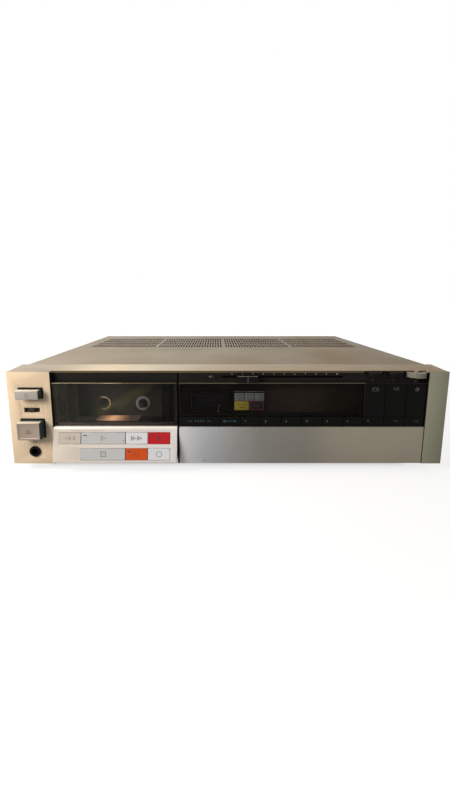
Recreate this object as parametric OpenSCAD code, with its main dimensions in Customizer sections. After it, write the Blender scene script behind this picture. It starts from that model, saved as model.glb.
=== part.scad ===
// Stereo cassette deck receiver: a low, full-width component with a bottom-hinged cassette door,
// a drop-down control flap, sprung keys, thumbwheels and a sliding volume control.
// Millimetres, +Z up, the front faces -Y. The origin is on the surface it stands on, under its middle.

/* [Cabinet] */
// Depth from the end panels' faces to the rear panel
cabinet_d = 335; // [320:1:350]
// Depth of the moulded front bezel
bezel_d = 33; // [31:1:35]
// How far the cover's sides lie inside the bezel's ends
cover_inset = 5; // [3:0.5:7]
// Thickness of the sheet steel
sheet_t = 1.2; // [0.8:0.1:1.6]
// Wall thickness of the moulded pieces
wall_t = 2; // [1.6:0.1:2.4]
// Height of the feet
foot_h = 10; // [8:0.5:14]
// Radius of the feet
foot_r = 17; // [12:1:22]
// Distance of the feet from the cabinet's sides and ends
foot_inset = 52; // [46:1:70]

/* [Front layout, across] */
// Width of the left end panel
left_panel_w = 41.8; // [40:0.2:46]
// Width of the cassette door's bay
door_bay_w = 123.2; // [121:0.2:128]
// Gap between the cassette door and the display side
split_gap = 1.8; // [1.4:0.1:2.4]
// Width of one key column on the display side
column_w = 20.333; // [19.5:0.1:21]
// Width of the right end panel
right_panel_w = 19.2; // [16:0.2:24]
// Distance of the left panel's controls from the door's bay
controls_inset = 19.4; // [17.6:0.2:20.4]

/* [Front layout, upwards] */
// Height of the flap
flap_h = 38.5; // [37:0.5:42]
// Height of the low key row
low_key_h = 9.9; // [9:0.1:12]
// Height of the display window and the source keys
window_h = 34.5; // [33:0.5:38]
// Height of the black strip above the window
strip_h = 9.1; // [9:0.1:11]
// Thickness of the bezel's top lip
lip_t = 2.2; // [2:0.1:3]
// Rise from the lip to the cover's top
crown_rise = 1.6; // [1:0.1:2.4]

/* [Front layout, in depth] */
// How far the window and keys lie behind the end panels
face_set = 1.5; // [1:0.1:2.5]
// How far the black strip and the top lip lie behind the end panels
strip_set = 6.5; // [5.5:0.1:7.5]
// Thickness of the two smoked windows
pane_t = 3; // [2:0.1:3.5]
// Thickness of the ledge above the windows
ledge_t = 1.2; // [1:0.1:1.6]

/* [Cassette door] */
// Angle that the door opens to
door_open = 28; // [20:1:30]
// How far the transport panel leans out at its foot
panel_lean = 7.7; // [6:0.1:9]
// Distance of the transport panel's foot above the cabinet's bottom edge
panel_rise = 3.7; // [3:0.1:5]
// Margin left of the transport keys
transport_left = 5.9; // [4:0.1:8]
// Margin right of the transport keys
transport_right = 6.5; // [4:0.1:8]
// Height of the transport keys along the panel
transport_key_h = 11.3; // [10:0.1:12]
// Radius of the door's and the flap's hinge pins
hinge_r = 1.5; // [1.2:0.1:1.8]

/* [Tape transport] */
// Depth of the deck plate's face behind the end panels
deck_set = 38; // [37:0.5:40]
// Radius of the reel tables
reel_r = 8.2; // [7:0.1:9]
// Radius of the capstan
capstan_r = 1.25; // [1:0.05:1.5]
// Radius of the pinch roller
roller_r = 6; // [5:0.1:6.5]
// How far the head bridge rises to the tape
head_lift = 6; // [4:0.5:6]
// Radius of the flywheel
flywheel_r = 21; // [17:0.5:21.5]

/* [Keys and buttons] */
// Gap round a key cap
key_gap = 0.3; // [0.2:0.05:0.4]
// Travel of the keys on the display side
key_travel = 0.8; // [0.5:0.1:1]
// Travel of the transport keys
transport_travel = 0.9; // [0.5:0.1:1]
// Radius of the keys' guide posts
post_r = 1.4; // [1:0.1:1.6]
// Width of the power and eject buttons
button_w = 22; // [20:0.2:24]
// Height of the power button
power_h = 8.9; // [8:0.1:10]
// Height of the eject button
eject_h = 17.4; // [16:0.2:19]
// How far the power button stands out
power_reach = 9; // [7:0.5:9.5]
// How far the eject button stands out
eject_reach = 11; // [10:0.5:12]
// Travel of the power and eject buttons
button_travel = 4; // [3:0.5:5]
// Travel of the timer switch to each side
timer_travel = 4.4; // [3:0.2:4.6]

/* [Volume and tone] */
// Travel of the volume slider
volume_travel = 103.4; // [90:0.2:106]
// Width of the volume knob
volume_w = 21.2; // [18:0.2:24]
// Radius of the bass and treble wheels
tone_r = 8; // [7.4:0.1:8.6]
// Radius of the balance wheel
balance_r = 9; // [8:0.1:9.2]
// Thickness of the three wheels
wheel_t = 4.9; // [4:0.1:5.1]

/* [Vents] */
// Columns of slots in each of the four groups
vent_cols = 24; // [12:1:24]
// Rows of slots
vent_rows = 4; // [2:1:4]
// Distance between the columns
vent_pitch = 3.84; // [3.4:0.02:3.9]
// Width of a slot
vent_w = 2; // [1.4:0.1:2.4]
// Length of a slot
vent_l = 22; // [16:0.5:24]
// Distance between the rows
vent_row_pitch = 28.75; // [26:0.25:30]
// Depth of the first row's centre behind the end panels
vent_set = 187; // [170:1:195]

/* [Rear] */
// How far the rear terminals stand out
rear_reach = 11; // [9:0.5:12]
// Radius of a phono socket's sleeve
phono_r = 4.1; // [3.9:0.1:4.4]
// Bore radius of the headphone socket
jack_r = 3.2; // [3.15:0.05:3.3]

/* [Hidden] */
$fn = 48;

// Running clearance of a pin or shaft in its bore, and the gap between pieces that only pass by
running = 0.05;
clear = 0.3;
// Overshoot of a cut past the face it opens
cut = 1;

// Places across the front, from left to right
columns = 12;
bezel_w = left_panel_w + door_bay_w + split_gap + columns * column_w + right_panel_w;
bezel_x = bezel_w / 2;
bay_x0 = left_panel_w - bezel_x;
bay_x1 = bay_x0 + door_bay_w;
side_x0 = bay_x1 + split_gap;
side_x1 = side_x0 + columns * column_w;
window_x1 = side_x0 + 9 * column_w;
cover_x = bezel_x - cover_inset;
inner_x = cover_x - sheet_t;
controls_x = bay_x0 - controls_inset;
door_x = [bay_x0 + clear, bay_x1];

// Places upwards, from the cabinet's bottom edge
base_z = foot_h;
floor_z = base_z + sheet_t;
flap_z = base_z + flap_h;
keys_z = flap_z + low_key_h;
ledge_z = keys_z + window_h;
lip_z = ledge_z + strip_h;
edge_z = lip_z + lip_t;
top_z = edge_z + crown_rise;

// Places in depth are counted back from the end panels' faces
face_y = -cabinet_d / 2;
pane_back = face_set + pane_t;
strip_back = strip_set + wall_t;
back_wall = 12;
board_set = 18;
board_t = 1.6;
recess_back = 24;

// Sizes that every compact cassette has
cassette_w = 100.4;
cassette_h = 63.8;
cassette_t = 12;
hub_above_edge = 34.6;
hub_spacing = 42.5;
capstan_offset = 31;
capstan_above_edge = 8;

// The cassette hangs just under the ledge, against the reel tables
cassette_x = (door_x[0] + door_x[1]) / 2;
cassette_top_z = ledge_z - ledge_t;
cassette_z = cassette_top_z - cassette_h;
hub_z = cassette_z + hub_above_edge;
capstan_x = cassette_x + capstan_offset;
capstan_z = cassette_z + capstan_above_edge;
table_t = 1.2;
table_set = deck_set - 0.4 - table_t;
cassette_back = table_set - clear;
cassette_front = cassette_back - cassette_t - clear;
deck_t = 2;

// The door turns on pins near its foot, the flap on pins near its lower edge
door_pin_t = 8;
door_pin_z = base_z + 9;
flap_pin_t = 6;
flap_pin_z = base_z + 4.2;
pin_bore_r = hinge_r + running;
pin_reach = 1.6;

// The transport panel leans from just under the window to its foot
panel_chamfer = 1.6;
panel_top_z = flap_z - panel_chamfer;
panel_foot_z = base_z + panel_rise;
panel_slant = atan(panel_lean / (panel_top_z - panel_foot_z));
panel_wall = 1.6;
key_proud = 0.5;
key_cap_d = 4.5;
guide_set = 6;
guide_t = 2;
row_top = [-3.9, -19.6];
transport_x = door_x[0] + transport_left;
transport_columns = 5;
transport_col = (door_x[1] - transport_right - transport_x) / transport_columns;
transport_gap = 0.5;

// The display side's row of keys and the tall source keys
key_cap_back = 8;
post_end = board_set - key_travel - 0.2;

// Strip controls
slot_z = ledge_z + 4.8;
slot_h = 1.8;
scale_x = side_x0 + 52.5;
volume_rest = 15.2;
volume_x = scale_x + volume_rest;
slot_x = [scale_x - 9.8, scale_x + volume_travel + 7];
slot_rim = [2.7, 4.5];
wheel_z = lip_z + 1.2 - wheel_t;
tone_set = 8.5;
balance_set = 5.5;
wheel_bore = 2;
wheel_notch = 1.5;
wheel_grooves = 24;
groove_d = 0.5;

// End panel controls
power_z = ledge_z - 9.8;
timer_z = keys_z + 7.4;
timer_slot = [15.5, 5.1];
timer_knob_w = 5.6;
eject_z = flap_z - 1.1;
jack_z = base_z + 13.2;
button_gap = 0.7;
panel_t = 2.5;
jack_nut_r = 5.5;
jack_depth = 15;

// Screws, feet and the cover's rear flange
screw_r = 1.6;
screw_l = 5;
screw_head = [4, 2.2];
cover_screw_z = base_z + 15;
cover_screw_t = [75, cabinet_d - 45];
rear_screw_x = [-inner_x + 12, -25, 60, inner_x - 12];
rear_screw_z = top_z - 8;
flange_drop = 6;
flange_back = cabinet_d + sheet_t;
foot_x = cover_x - foot_inset + 10;
foot_recess = 3;
tray_vent_cols = 14;
tray_vent_pitch = 9;
tray_vent_x = -40;

// A block between two values of x, of depth and of height
module bar(x, t, z)
    translate([x[0], face_y + t[0], z[0]])
        cube([x[1] - x[0], t[1] - t[0], z[1] - z[0]]);

// A round rod that runs from front to back
module rod(x, z, t, r)
    translate([x, face_y + t[0], z]) rotate([-90, 0, 0]) cylinder(h = t[1] - t[0], r = r);

// A round pin that runs from left to right
module pin(x, t, z, r)
    translate([x[0], face_y + t, z]) rotate([0, 90, 0]) cylinder(h = x[1] - x[0], r = r);

// A side view of depth and height, carried from x[0] to x[1]
module profile(x, points)
    translate([x[0], face_y, 0]) rotate([90, 0, 90]) linear_extrude(x[1] - x[0]) polygon(points);

// Puts its children on the transport panel: x across, y into the panel, z along it from the top
module on_panel()
    translate([0, face_y, panel_top_z]) rotate([-panel_slant, 0, 0]) children();

module panel_bar(x, y, z)
    on_panel() translate([x[0], y[0], z[0]]) cube([x[1] - x[0], y[1] - y[0], z[1] - z[0]]);

module panel_rod(x, z, y, r)
    on_panel() translate([x, y[0], z]) rotate([-90, 0, 0]) cylinder(h = y[1] - y[0], r = r);

function column_x(k) = side_x0 + k * column_w;
function key_columns(k0, k1) = [column_x(k0) + key_gap, column_x(k1) - key_gap];
function middle(x) = (x[0] + x[1]) / 2;
function transport_cols(k0, k1) =
    [transport_x + k0 * transport_col, transport_x + k1 * transport_col - transport_gap];

// Rows of keys: the columns that each key spans
low_key_cols = [[0, 2], [2, 3], [3, 4], [4, 5], [5, 6], [6, 7], [7, 8], [8, 9], [9, 10], [10, 11], [11, 12]];
source_key_cols = [[9, 10], [10, 11], [11, 12]];
// Transport keys: row, first column, last column
transport_keys = [[0, 0, 1], [0, 1, 3], [0, 3, 4], [0, 4, 5], [1, 1, 3], [1, 3, 4], [1, 4, 5]];

// Cabinet

module vent_slots()
    for (group = [0:3], col = [0:vent_cols - 1], row = [0:vent_rows - 1])
        translate([
            (group - 1.5) * (vent_cols + 1) * vent_pitch + (col - (vent_cols - 1) / 2) * vent_pitch,
            face_y + vent_set + row * vent_row_pitch
        ])
            square([vent_w, vent_l], center = true);

module cover_screw_holes()
    for (t = cover_screw_t, side = [-1, 1])
        translate([side * (cover_x - 2 * sheet_t - cut), face_y + t, cover_screw_z])
            rotate([0, side * 90, 0]) cylinder(h = 3 * sheet_t + 2 * cut, r = screw_r + running);

module rear_screw_holes()
    for (x = rear_screw_x)
        rod(x, rear_screw_z, [cabinet_d - sheet_t - cut, flange_back + cut], screw_r + running);

module top_cover() color("tan") {
    translate([0, 0, top_z - sheet_t]) linear_extrude(sheet_t) difference() {
        translate([-cover_x, face_y + bezel_d]) square([2 * cover_x, flange_back - bezel_d]);
        vent_slots();
    }
    difference() {
        for (x = [-cover_x, inner_x])
            bar([x, x + sheet_t], [bezel_d, flange_back], [base_z, top_z - sheet_t]);
        cover_screw_holes();
    }
    difference() {
        bar([-inner_x, inner_x], [cabinet_d, flange_back], [rear_screw_z - flange_drop, top_z - sheet_t]);
        rear_screw_holes();
    }
}

module bottom_tray() color("silver") difference() {
    union() {
        bar([-inner_x, inner_x], [bezel_d, cabinet_d], [base_z, floor_z]);
        for (x = [-inner_x, inner_x - sheet_t])
            bar([x, x + sheet_t], [bezel_d, cabinet_d], [floor_z, cover_screw_z + 8]);
    }
    cover_screw_holes();
    for (col = [0:tray_vent_cols - 1], row = [0:vent_rows - 2])
        translate([
            tray_vent_x + col * tray_vent_pitch, face_y + vent_set + row * vent_row_pitch, base_z - cut
        ]) linear_extrude(sheet_t + 2 * cut) square([vent_w, vent_l], center = true);
}

module feet() color([0.08, 0.08, 0.08])
    for (side = [-1, 1], t = [foot_inset, cabinet_d - foot_inset])
        translate([side * foot_x, face_y + t, 0]) difference() {
            rotate_extrude() polygon([
                [0, 0], [foot_r - 2, 0], [foot_r - 1.2, 0.6], [foot_r, foot_h], [0, foot_h]
            ]);
            translate([0, 0, -cut]) cylinder(h = foot_recess + cut, r = foot_r / 3);
        }

module rear_panel() color("dimgray") difference() {
    through = [cabinet_d - sheet_t - cut, cabinet_d + cut];
    bar([-inner_x + sheet_t, inner_x - sheet_t], [cabinet_d - sheet_t, cabinet_d],
        [floor_z, top_z - sheet_t]);
    rear_screw_holes();
    bar(inlet_x, through, inlet_z);
    bar(speaker_x, through, speaker_z);
    for (col = [0:phono_cols - 1], row = [0, 1])
        rod(phono_x + col * phono_pitch, phono_z + row * phono_pitch, through, phono_r / 2 + clear);
}

module screw(axis_turn)
    rotate(axis_turn) {
        difference() {
            rotate_extrude() polygon([
                [0, 0], [screw_head[0], 0], [screw_head[0], screw_head[1] * 0.5],
                [screw_head[0] * 0.6, screw_head[1]], [0, screw_head[1]]
            ]);
            for (turn = [0, 90])
                rotate(turn) translate([-2, -0.4, screw_head[1] - 0.9]) cube([4, 0.8, cut + 0.9]);
        }
        translate([0, 0, -screw_l]) cylinder(h = screw_l, r = screw_r);
    }

module case_screws() color("gray") {
    for (t = cover_screw_t, side = [-1, 1])
        translate([side * cover_x, face_y + t, cover_screw_z]) screw([0, side * 90, 0]);
    for (x = rear_screw_x)
        translate([x, face_y + flange_back, rear_screw_z]) screw([-90, 0, 0]);
}

module front_bezel() color([0.85, 0.78, 0.66]) difference() {
    union() {
        difference() {
            profile([-bezel_x, bezel_x], [
                [0, base_z], [0, edge_z], [strip_set, edge_z], [bezel_d, top_z], [bezel_d, base_z]
            ]);
            profile([-inner_x, inner_x], [
                [panel_t, base_z + wall_t], [panel_t, lip_z], [strip_set, lip_z],
                [bezel_d, top_z - lip_t], [bezel_d + cut, top_z - lip_t], [bezel_d + cut, base_z + wall_t]
            ]);
            bar([bay_x0, side_x1], [-cut, strip_set], [base_z - cut, top_z]);
            bar([bay_x0, side_x1], [0, 19], [base_z - cut, lip_z]);
        }
        for (x = [bay_x0 - wall_t, side_x1])
            bar([x, x + wall_t], [panel_t, bezel_d], [base_z + wall_t, lip_z]);
    }
    power_opening();
    eject_opening();
    bar([controls_x - timer_slot[0] / 2, controls_x + timer_slot[0] / 2], [-cut, panel_t + cut],
        [timer_z - timer_slot[1] / 2, timer_z + timer_slot[1] / 2]);
    rod(controls_x, jack_z, [-cut, panel_t + cut], jack_nut_r - 1 + running);
    pin([bay_x0 - wall_t - cut, bay_x0 + cut], door_pin_t, door_pin_z, pin_bore_r);
    bar([window_x1, side_x1], [strip_set - cut, 21], [lip_z - cut, lip_z + wheel_notch]);
}

module panel_opening(z, h)
    bar([controls_x - button_w / 2 - button_gap, controls_x + button_w / 2 + button_gap],
        [-cut, panel_t + cut], [z - h / 2 - button_gap, z + h / 2 + button_gap]);

module power_opening() panel_opening(power_z, power_h);
module eject_opening() panel_opening(eject_z, eject_h);

// Display side

module fascia() color([0.12, 0.12, 0.11]) difference() {
    union() {
        bar([side_x0, side_x1], [strip_set, strip_back], [ledge_z - ledge_t, lip_z]);
        bar([side_x0, side_x1], [face_set, back_wall + wall_t], [ledge_z - ledge_t, ledge_z]);
        bar([side_x0, side_x1], [back_wall, back_wall + wall_t], [flap_z - wall_t, ledge_z - ledge_t]);
        bar([side_x0, side_x1], [5, back_wall], [flap_z - wall_t, flap_z]);
        bar([side_x0, side_x0 + wall_t], [pane_back, back_wall], [keys_z + key_gap, ledge_z - ledge_t]);
        bar([window_x1 - wall_t, window_x1], [pane_back, back_wall], [keys_z + key_gap, ledge_z - ledge_t]);
        bar([side_x0, window_x1], [pane_back, back_wall], [keys_z + key_gap, keys_z + key_gap + wall_t]);
        bar([window_x1, side_x1], [back_wall + wall_t, board_set], [ledge_z - ledge_t, ledge_z]);
        for (wheel = wheels)
            translate([wheel[0], face_y + wheel[1], ledge_z]) {
                cylinder(h = wheel_z + wheel_t - ledge_z - clear, r = wheel_bore - running);
                cylinder(h = wheel_z - ledge_z - clear, r = wheel_bore + 0.8);
            }
        for (x = [side_x0 + 6, side_x1 - 6], z = [flap_z + 4, ledge_z - 6])
            rod(x, z, [back_wall + wall_t, board_set], 2.5);
    }
    bar([side_x0 + 8, window_x1 - 8], [back_wall - cut, back_wall + wall_t + cut], [keys_z + 4, ledge_z - 7]);
    bar([slot_x[0] - slot_rim[0], slot_x[1] + slot_rim[1]], [strip_set - cut, strip_set + 0.5],
        [slot_z - 2.25, slot_z + 2.25]);
    bar(slot_x, [strip_set, strip_back + cut], [slot_z - slot_h / 2, slot_z + slot_h / 2]);
    for (wheel = wheels) wheel_opening(wheel);
    for (cols = low_key_cols) key_post(cols, low_key_mid_z, clear);
    for (cols = source_key_cols, z = source_post_z) key_post(cols, z, clear);
}

// Each wheel: x, depth of its axis, radius
wheels = [
    [column_x(9) + column_w / 2, tone_set, tone_r],
    [column_x(10) + column_w / 2, tone_set, tone_r],
    [column_x(11) + column_w / 2, balance_set, balance_r]
];

module wheel_opening(wheel)
    difference() {
        bar([wheel[0] - wheel[2] - clear, wheel[0] + wheel[2] + clear], [strip_set - cut, strip_back + cut],
            [wheel_z - clear, lip_z + cut]);
        translate([wheel[0], face_y + wheel[1], ledge_z])
            cylinder(h = wheel_z + wheel_t - ledge_z - clear, r = wheel_bore - running);
    }

module wheel(index, c) color(c)
    translate([wheels[index][0], face_y + wheels[index][1], wheel_z]) difference() {
        cylinder(h = wheel_t, r = wheels[index][2]);
        translate([0, 0, -cut]) cylinder(h = wheel_t + 2 * cut, r = wheel_bore);
        for (k = [0:wheel_grooves - 1])
            rotate((k + 0.5) * 360 / wheel_grooves)
                translate([wheels[index][2] - groove_d, -groove_d / 2, -cut])
                    cube([groove_d + cut, groove_d, wheel_t + 2 * cut]);
    }

module display_window() color([0.15, 0.15, 0.16, 0.6])
    bar([side_x0 + key_gap, window_x1 - key_gap], [face_set, pane_back],
        [keys_z + key_gap, ledge_z - ledge_t]);

// Counter and lit tiles, seen through the window and carried by the front board
display_face = 7;
counter_size = [36.2, 16.4];
counter_at = [12.4, 6.7];
counter_rim = 1.5;
tiles_size = [30.2, 19.9];
tiles_at = [55, 5.3];
tile_gap = 0.6;
tile_t = 0.6;
low_tile_h = 10.1;
counter_x = [side_x0 + counter_at[0], side_x0 + counter_at[0] + counter_size[0]];
counter_z = [keys_z + counter_at[1], keys_z + counter_at[1] + counter_size[1]];
tiles_x = [side_x0 + tiles_at[0], side_x0 + tiles_at[0] + tiles_size[0]];
tiles_z = [keys_z + tiles_at[1], keys_z + tiles_at[1] + tiles_size[1]];

// A row of equal tiles on the tile block
module tile_row(count, z) {
    pitch = tiles_size[0] / count;
    for (k = [0:count - 1])
        bar([tiles_x[0] + k * pitch + tile_gap / 2, tiles_x[0] + (k + 1) * pitch - tile_gap / 2],
            [display_face, display_face + tile_t], z);
}

module display_unit() color([0.3, 0.32, 0.34]) {
    difference() {
        bar(counter_x, [display_face, board_set], counter_z);
        bar([counter_x[0] + counter_rim, counter_x[1] - counter_rim], [display_face - cut, display_face + 1],
            [counter_z[0] + counter_rim, counter_z[1] - counter_rim]);
    }
    bar(tiles_x, [display_face + tile_t, board_set], tiles_z);
    tile_row(3, [tiles_z[0] + low_tile_h + tile_gap, tiles_z[1]]);
    tile_row(2, [tiles_z[0], tiles_z[0] + low_tile_h]);
}

module front_board() color("darkgreen") {
    bar([side_x0 + 2, side_x1 - 2], [board_set, board_set + board_t], [flap_z, lip_z - 2]);
    bar([slot_x[0] - 2, slot_x[1] + 1], [back_wall + clear, board_set], [slot_z - 2.6, slot_z + 2.8]);
}

low_key_mid_z = (flap_z + keys_z) / 2;
source_post_z = [keys_z + 8, ledge_z - 9];

module key_post(cols, z, gap)
    rod(middle(key_columns(cols[0], cols[1])), z, [key_cap_back - gap, post_end + gap], post_r + gap / 2);

module low_key(index) color([0.12, 0.12, 0.11]) {
    bar(key_columns(low_key_cols[index][0], low_key_cols[index][1]), [face_set, key_cap_back],
        [flap_z + key_gap, keys_z]);
    key_post(low_key_cols[index], low_key_mid_z, 0);
}

module source_key(index) color([0.12, 0.12, 0.11]) {
    bar(key_columns(source_key_cols[index][0], source_key_cols[index][1]), [face_set, key_cap_back],
        [keys_z + key_gap, ledge_z - ledge_t - key_gap]);
    for (z = source_post_z) key_post(source_key_cols[index], z, 0);
}

module volume_knob() color([0.1, 0.1, 0.1]) {
    difference() {
        bar([volume_x - volume_w / 2, volume_x + volume_w / 2], [-1, strip_set - clear],
            [ledge_z + clear, ledge_z + 7.3]);
        bar([volume_x - 1.5, volume_x + 1.5], [-1 - cut, -0.6], [ledge_z, ledge_z + 8]);
    }
    bar([volume_x - 2, volume_x + 2], [strip_set - clear, back_wall], [slot_z - 0.6, slot_z + 0.6]);
}

// Behind the flap

recess_x = [side_x0, side_x1];
recess_z = [base_z + wall_t, flap_z - wall_t];
knob_x = side_x0 + 66;
rocker_x = side_x0 + 122;
control_z = (recess_z[0] + recess_z[1]) / 2;
knob_r = 6.5;
rocker_w = 24;
rocker_h = 10;
rocker_pin_r = 2.2;
rocker_set = recess_back - wall_t - clear - rocker_pin_r;

module control_recess() color([0.2, 0.2, 0.2]) difference() {
    union() {
        bar(recess_x, [recess_back - wall_t, recess_back], recess_z);
        bar(recess_x, [flap_pin_t + 4.8, recess_back], [recess_z[0], recess_z[0] + wall_t]);
        bar(recess_x, [5, recess_back], [recess_z[1] - wall_t, recess_z[1]]);
        for (x = [recess_x[0], recess_x[1] - wall_t]) {
            bar([x, x + wall_t], [flap_t + clear, recess_back], [flap_pin_z, recess_z[1]]);
            bar([x, x + wall_t], [flap_pin_t - 1.8, recess_back], [recess_z[0], flap_pin_z]);
        }
    }
    pin([recess_x[0] - cut, recess_x[0] + wall_t + cut], flap_pin_t, flap_pin_z, pin_bore_r);
    pin([recess_x[1] - wall_t - cut, recess_x[1]], flap_pin_t, flap_pin_z, pin_bore_r);
    pin([recess_x[0] - cut, recess_x[0] + wall_t + cut], door_pin_t, door_pin_z, pin_bore_r);
    rod(knob_x, control_z, [recess_back - wall_t - cut, recess_back + cut], 3 + running);
}

flap_t = 3;
flap_x = [side_x0 + clear, side_x1 - clear];
ear_t = 2;

module flap() color([0.72, 0.72, 0.73]) {
    bar(flap_x, [0, flap_t], [base_z + clear, flap_z - clear]);
    for (side = [0, 1]) {
        inner = side == 0 ? recess_x[0] + wall_t + clear : recess_x[1] - wall_t - clear - ear_t;
        bar([inner, inner + ear_t], [flap_t, flap_pin_t + 1], [flap_pin_z - 2.2, flap_pin_z + 2.6]);
        pin([inner, inner + ear_t], flap_pin_t, flap_pin_z, 2.6);
        pin(side == 0 ? [inner - pin_reach, inner] : [inner + ear_t, inner + ear_t + pin_reach],
            flap_pin_t, flap_pin_z, hinge_r);
    }
}

module level_knob() color([0.1, 0.1, 0.1]) {
    difference() {
        rod(knob_x, control_z, [12, recess_back - wall_t - clear], knob_r);
        bar([knob_x - 0.5, knob_x + 0.5], [12 - cut, 12.6], [control_z + 2, control_z + knob_r + cut]);
    }
    rod(knob_x, control_z, [recess_back - wall_t - clear, recess_back + 6], 3);
}

module tuning_rocker() color([0.1, 0.1, 0.1]) {
    profile_x = [rocker_x - rocker_w / 2, rocker_x + rocker_w / 2];
    bar(profile_x, [rocker_set - 4.5, rocker_set], [control_z - rocker_h / 2, control_z + rocker_h / 2]);
    translate([rocker_x, face_y + rocker_set, control_z - rocker_h / 2])
        cylinder(h = rocker_h, r = rocker_pin_r);
}

// End panel controls

module panel_button(z, h, reach) {
    bar([controls_x - button_w / 2, controls_x + button_w / 2], [-reach, panel_t + clear],
        [z - h / 2, z + h / 2]);
    bar([controls_x - button_w / 2 - 2, controls_x + button_w / 2 + 2], [panel_t + clear, panel_t + 2],
        [z - h / 2 - 2, z + h / 2 + 2]);
    rod(controls_x, z, [panel_t + 2, 16], 3);
}

module power_button() color([0.7, 0.69, 0.66]) panel_button(power_z, power_h, power_reach);

module eject_button() color([0.62, 0.62, 0.6])
    difference() {
        panel_button(eject_z, eject_h, eject_reach);
        bar([controls_x - button_w / 2 + 1.8, controls_x + button_w / 2 - 1.8],
            [-eject_reach - cut, -eject_reach + 0.5],
            [eject_z - eject_h / 2 + 1.8, eject_z + eject_h / 2 - 1.8]);
    }

module timer_switch() color([0.1, 0.1, 0.1]) {
    bar([controls_x - timer_knob_w / 2, controls_x + timer_knob_w / 2], [0, panel_t + clear],
        [timer_z - timer_slot[1] / 2 + clear, timer_z + timer_slot[1] / 2 - clear]);
    bar([controls_x - timer_slot[0] / 2 - 0.5, controls_x + timer_slot[0] / 2 + 0.5],
        [panel_t + clear, panel_t + 1.8], [timer_z - timer_slot[1] / 2 - 1, timer_z + timer_slot[1] / 2 + 1]);
}

module headphone_jack() color([0.1, 0.1, 0.1]) difference() {
    union() {
        rod(controls_x, jack_z, [-1.2, 0], jack_nut_r);
        rod(controls_x, jack_z, [0, panel_t], jack_nut_r - 1);
        bar([controls_x - 7, controls_x + 7], [panel_t, 24], [jack_z - 7, jack_z + 7]);
    }
    rod(controls_x, jack_z, [-1.2 - cut, jack_depth], jack_r);
}

// Cassette door

module door_frame() color([0.1, 0.1, 0.1]) difference() {
    union() {
        bar(door_x, [strip_set, strip_back], [ledge_z - ledge_t, lip_z - 0.6]);
        bar(door_x, [face_set, strip_back], [ledge_z - ledge_t, ledge_z]);
        for (x = [door_x[0], door_x[1] - rib_w])
            bar([x, x + rib_w], [pane_back, strip_back], [door_pin_z, ledge_z - ledge_t]);
        bar(door_x, [pane_back, strip_back], [panel_top_z - 4, shelf_z]);
        panel_bar([door_x[0] + 2, door_x[1] - 2], [guide_set, guide_set + guide_t], guide_z);
        for (x = [door_x[0], door_x[1] - rib_w])
            pin([x, x + rib_w], door_pin_t, door_pin_z, 3.6);
        for (x = [door_x[0] + 2, door_x[1] - rib_w])
            panel_bar([x, x + rib_w - 2], [guide_set, guide_set + 4], guide_z);
        pin([door_x[0] - pin_reach, door_x[0]], door_pin_t, door_pin_z, hinge_r);
        pin([door_x[1], side_x0 + pin_reach], door_pin_t, door_pin_z, hinge_r);
    }
    for (key = transport_keys) transport_posts(key, clear);
}

rib_w = 2.8;
shelf_z = flap_z + 3.5;
guide_z = [panel_foot_z - panel_top_z + 2.8, -1];

module door_window() color([0.15, 0.15, 0.16, 0.6])
    bar(door_x, [face_set, pane_back], [flap_z, ledge_z - ledge_t]);

module control_panel() color([0.88, 0.86, 0.82]) difference() {
    profile(door_x, [
        [panel_chamfer, flap_z], [0, panel_top_z], [-panel_lean, panel_foot_z + 0.6],
        [-panel_lean + 0.5, panel_foot_z], [pane_back, panel_foot_z], [pane_back, flap_z]
    ]);
    profile([door_x[0] + 1.5, door_x[1] - 1.5], [
        [panel_wall + 0.6, flap_z - panel_wall], [panel_wall, panel_top_z - 1],
        [panel_wall - panel_lean + 0.2, panel_foot_z + panel_wall],
        [pane_back + cut, panel_foot_z + panel_wall], [pane_back + cut, flap_z - panel_wall]
    ]);
    bar([door_x[0] - cut, door_x[1] + cut], [0, pane_back + cut], [panel_foot_z - cut, door_pin_z + 4.5]);
    for (row = [0, 1]) {
        opening = transport_cols(row, transport_columns);
        panel_bar([opening[0] - clear, opening[1] + clear], [-cut - 1, panel_wall + 2],
            [row_top[row] - transport_key_h - clear, row_top[row] + clear]);
    }
}

function transport_post_x(key) =
    key[2] - key[1] > 1
        ? [transport_cols(key[1], key[2])[0] + 6, transport_cols(key[1], key[2])[1] - 6]
        : [middle(transport_cols(key[1], key[2]))];

module transport_posts(key, gap)
    for (x = transport_post_x(key))
        panel_rod(x, row_top[key[0]] - transport_key_h / 2,
            [key_cap_d - gap, guide_set + guide_t + 1 + gap], post_r + gap / 2);

module transport_key(index, c) color(c) {
    key = transport_keys[index];
    panel_bar(transport_cols(key[1], key[2]), [-key_proud, key_cap_d],
        [row_top[key[0]] - transport_key_h, row_top[key[0]]]);
    transport_posts(key, 0);
}

// The cassette drops into two channels that ride with the door
slot_w = cassette_w + 1;
channel_x = [cassette_x - slot_w / 2, cassette_x + slot_w / 2];
lip_w = 7;
cheek_t = 1.5;
holder_wall = 1.2;
holder_back = cassette_back + holder_wall;
holder_z = [cassette_z - 2, cassette_top_z - 2];

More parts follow.
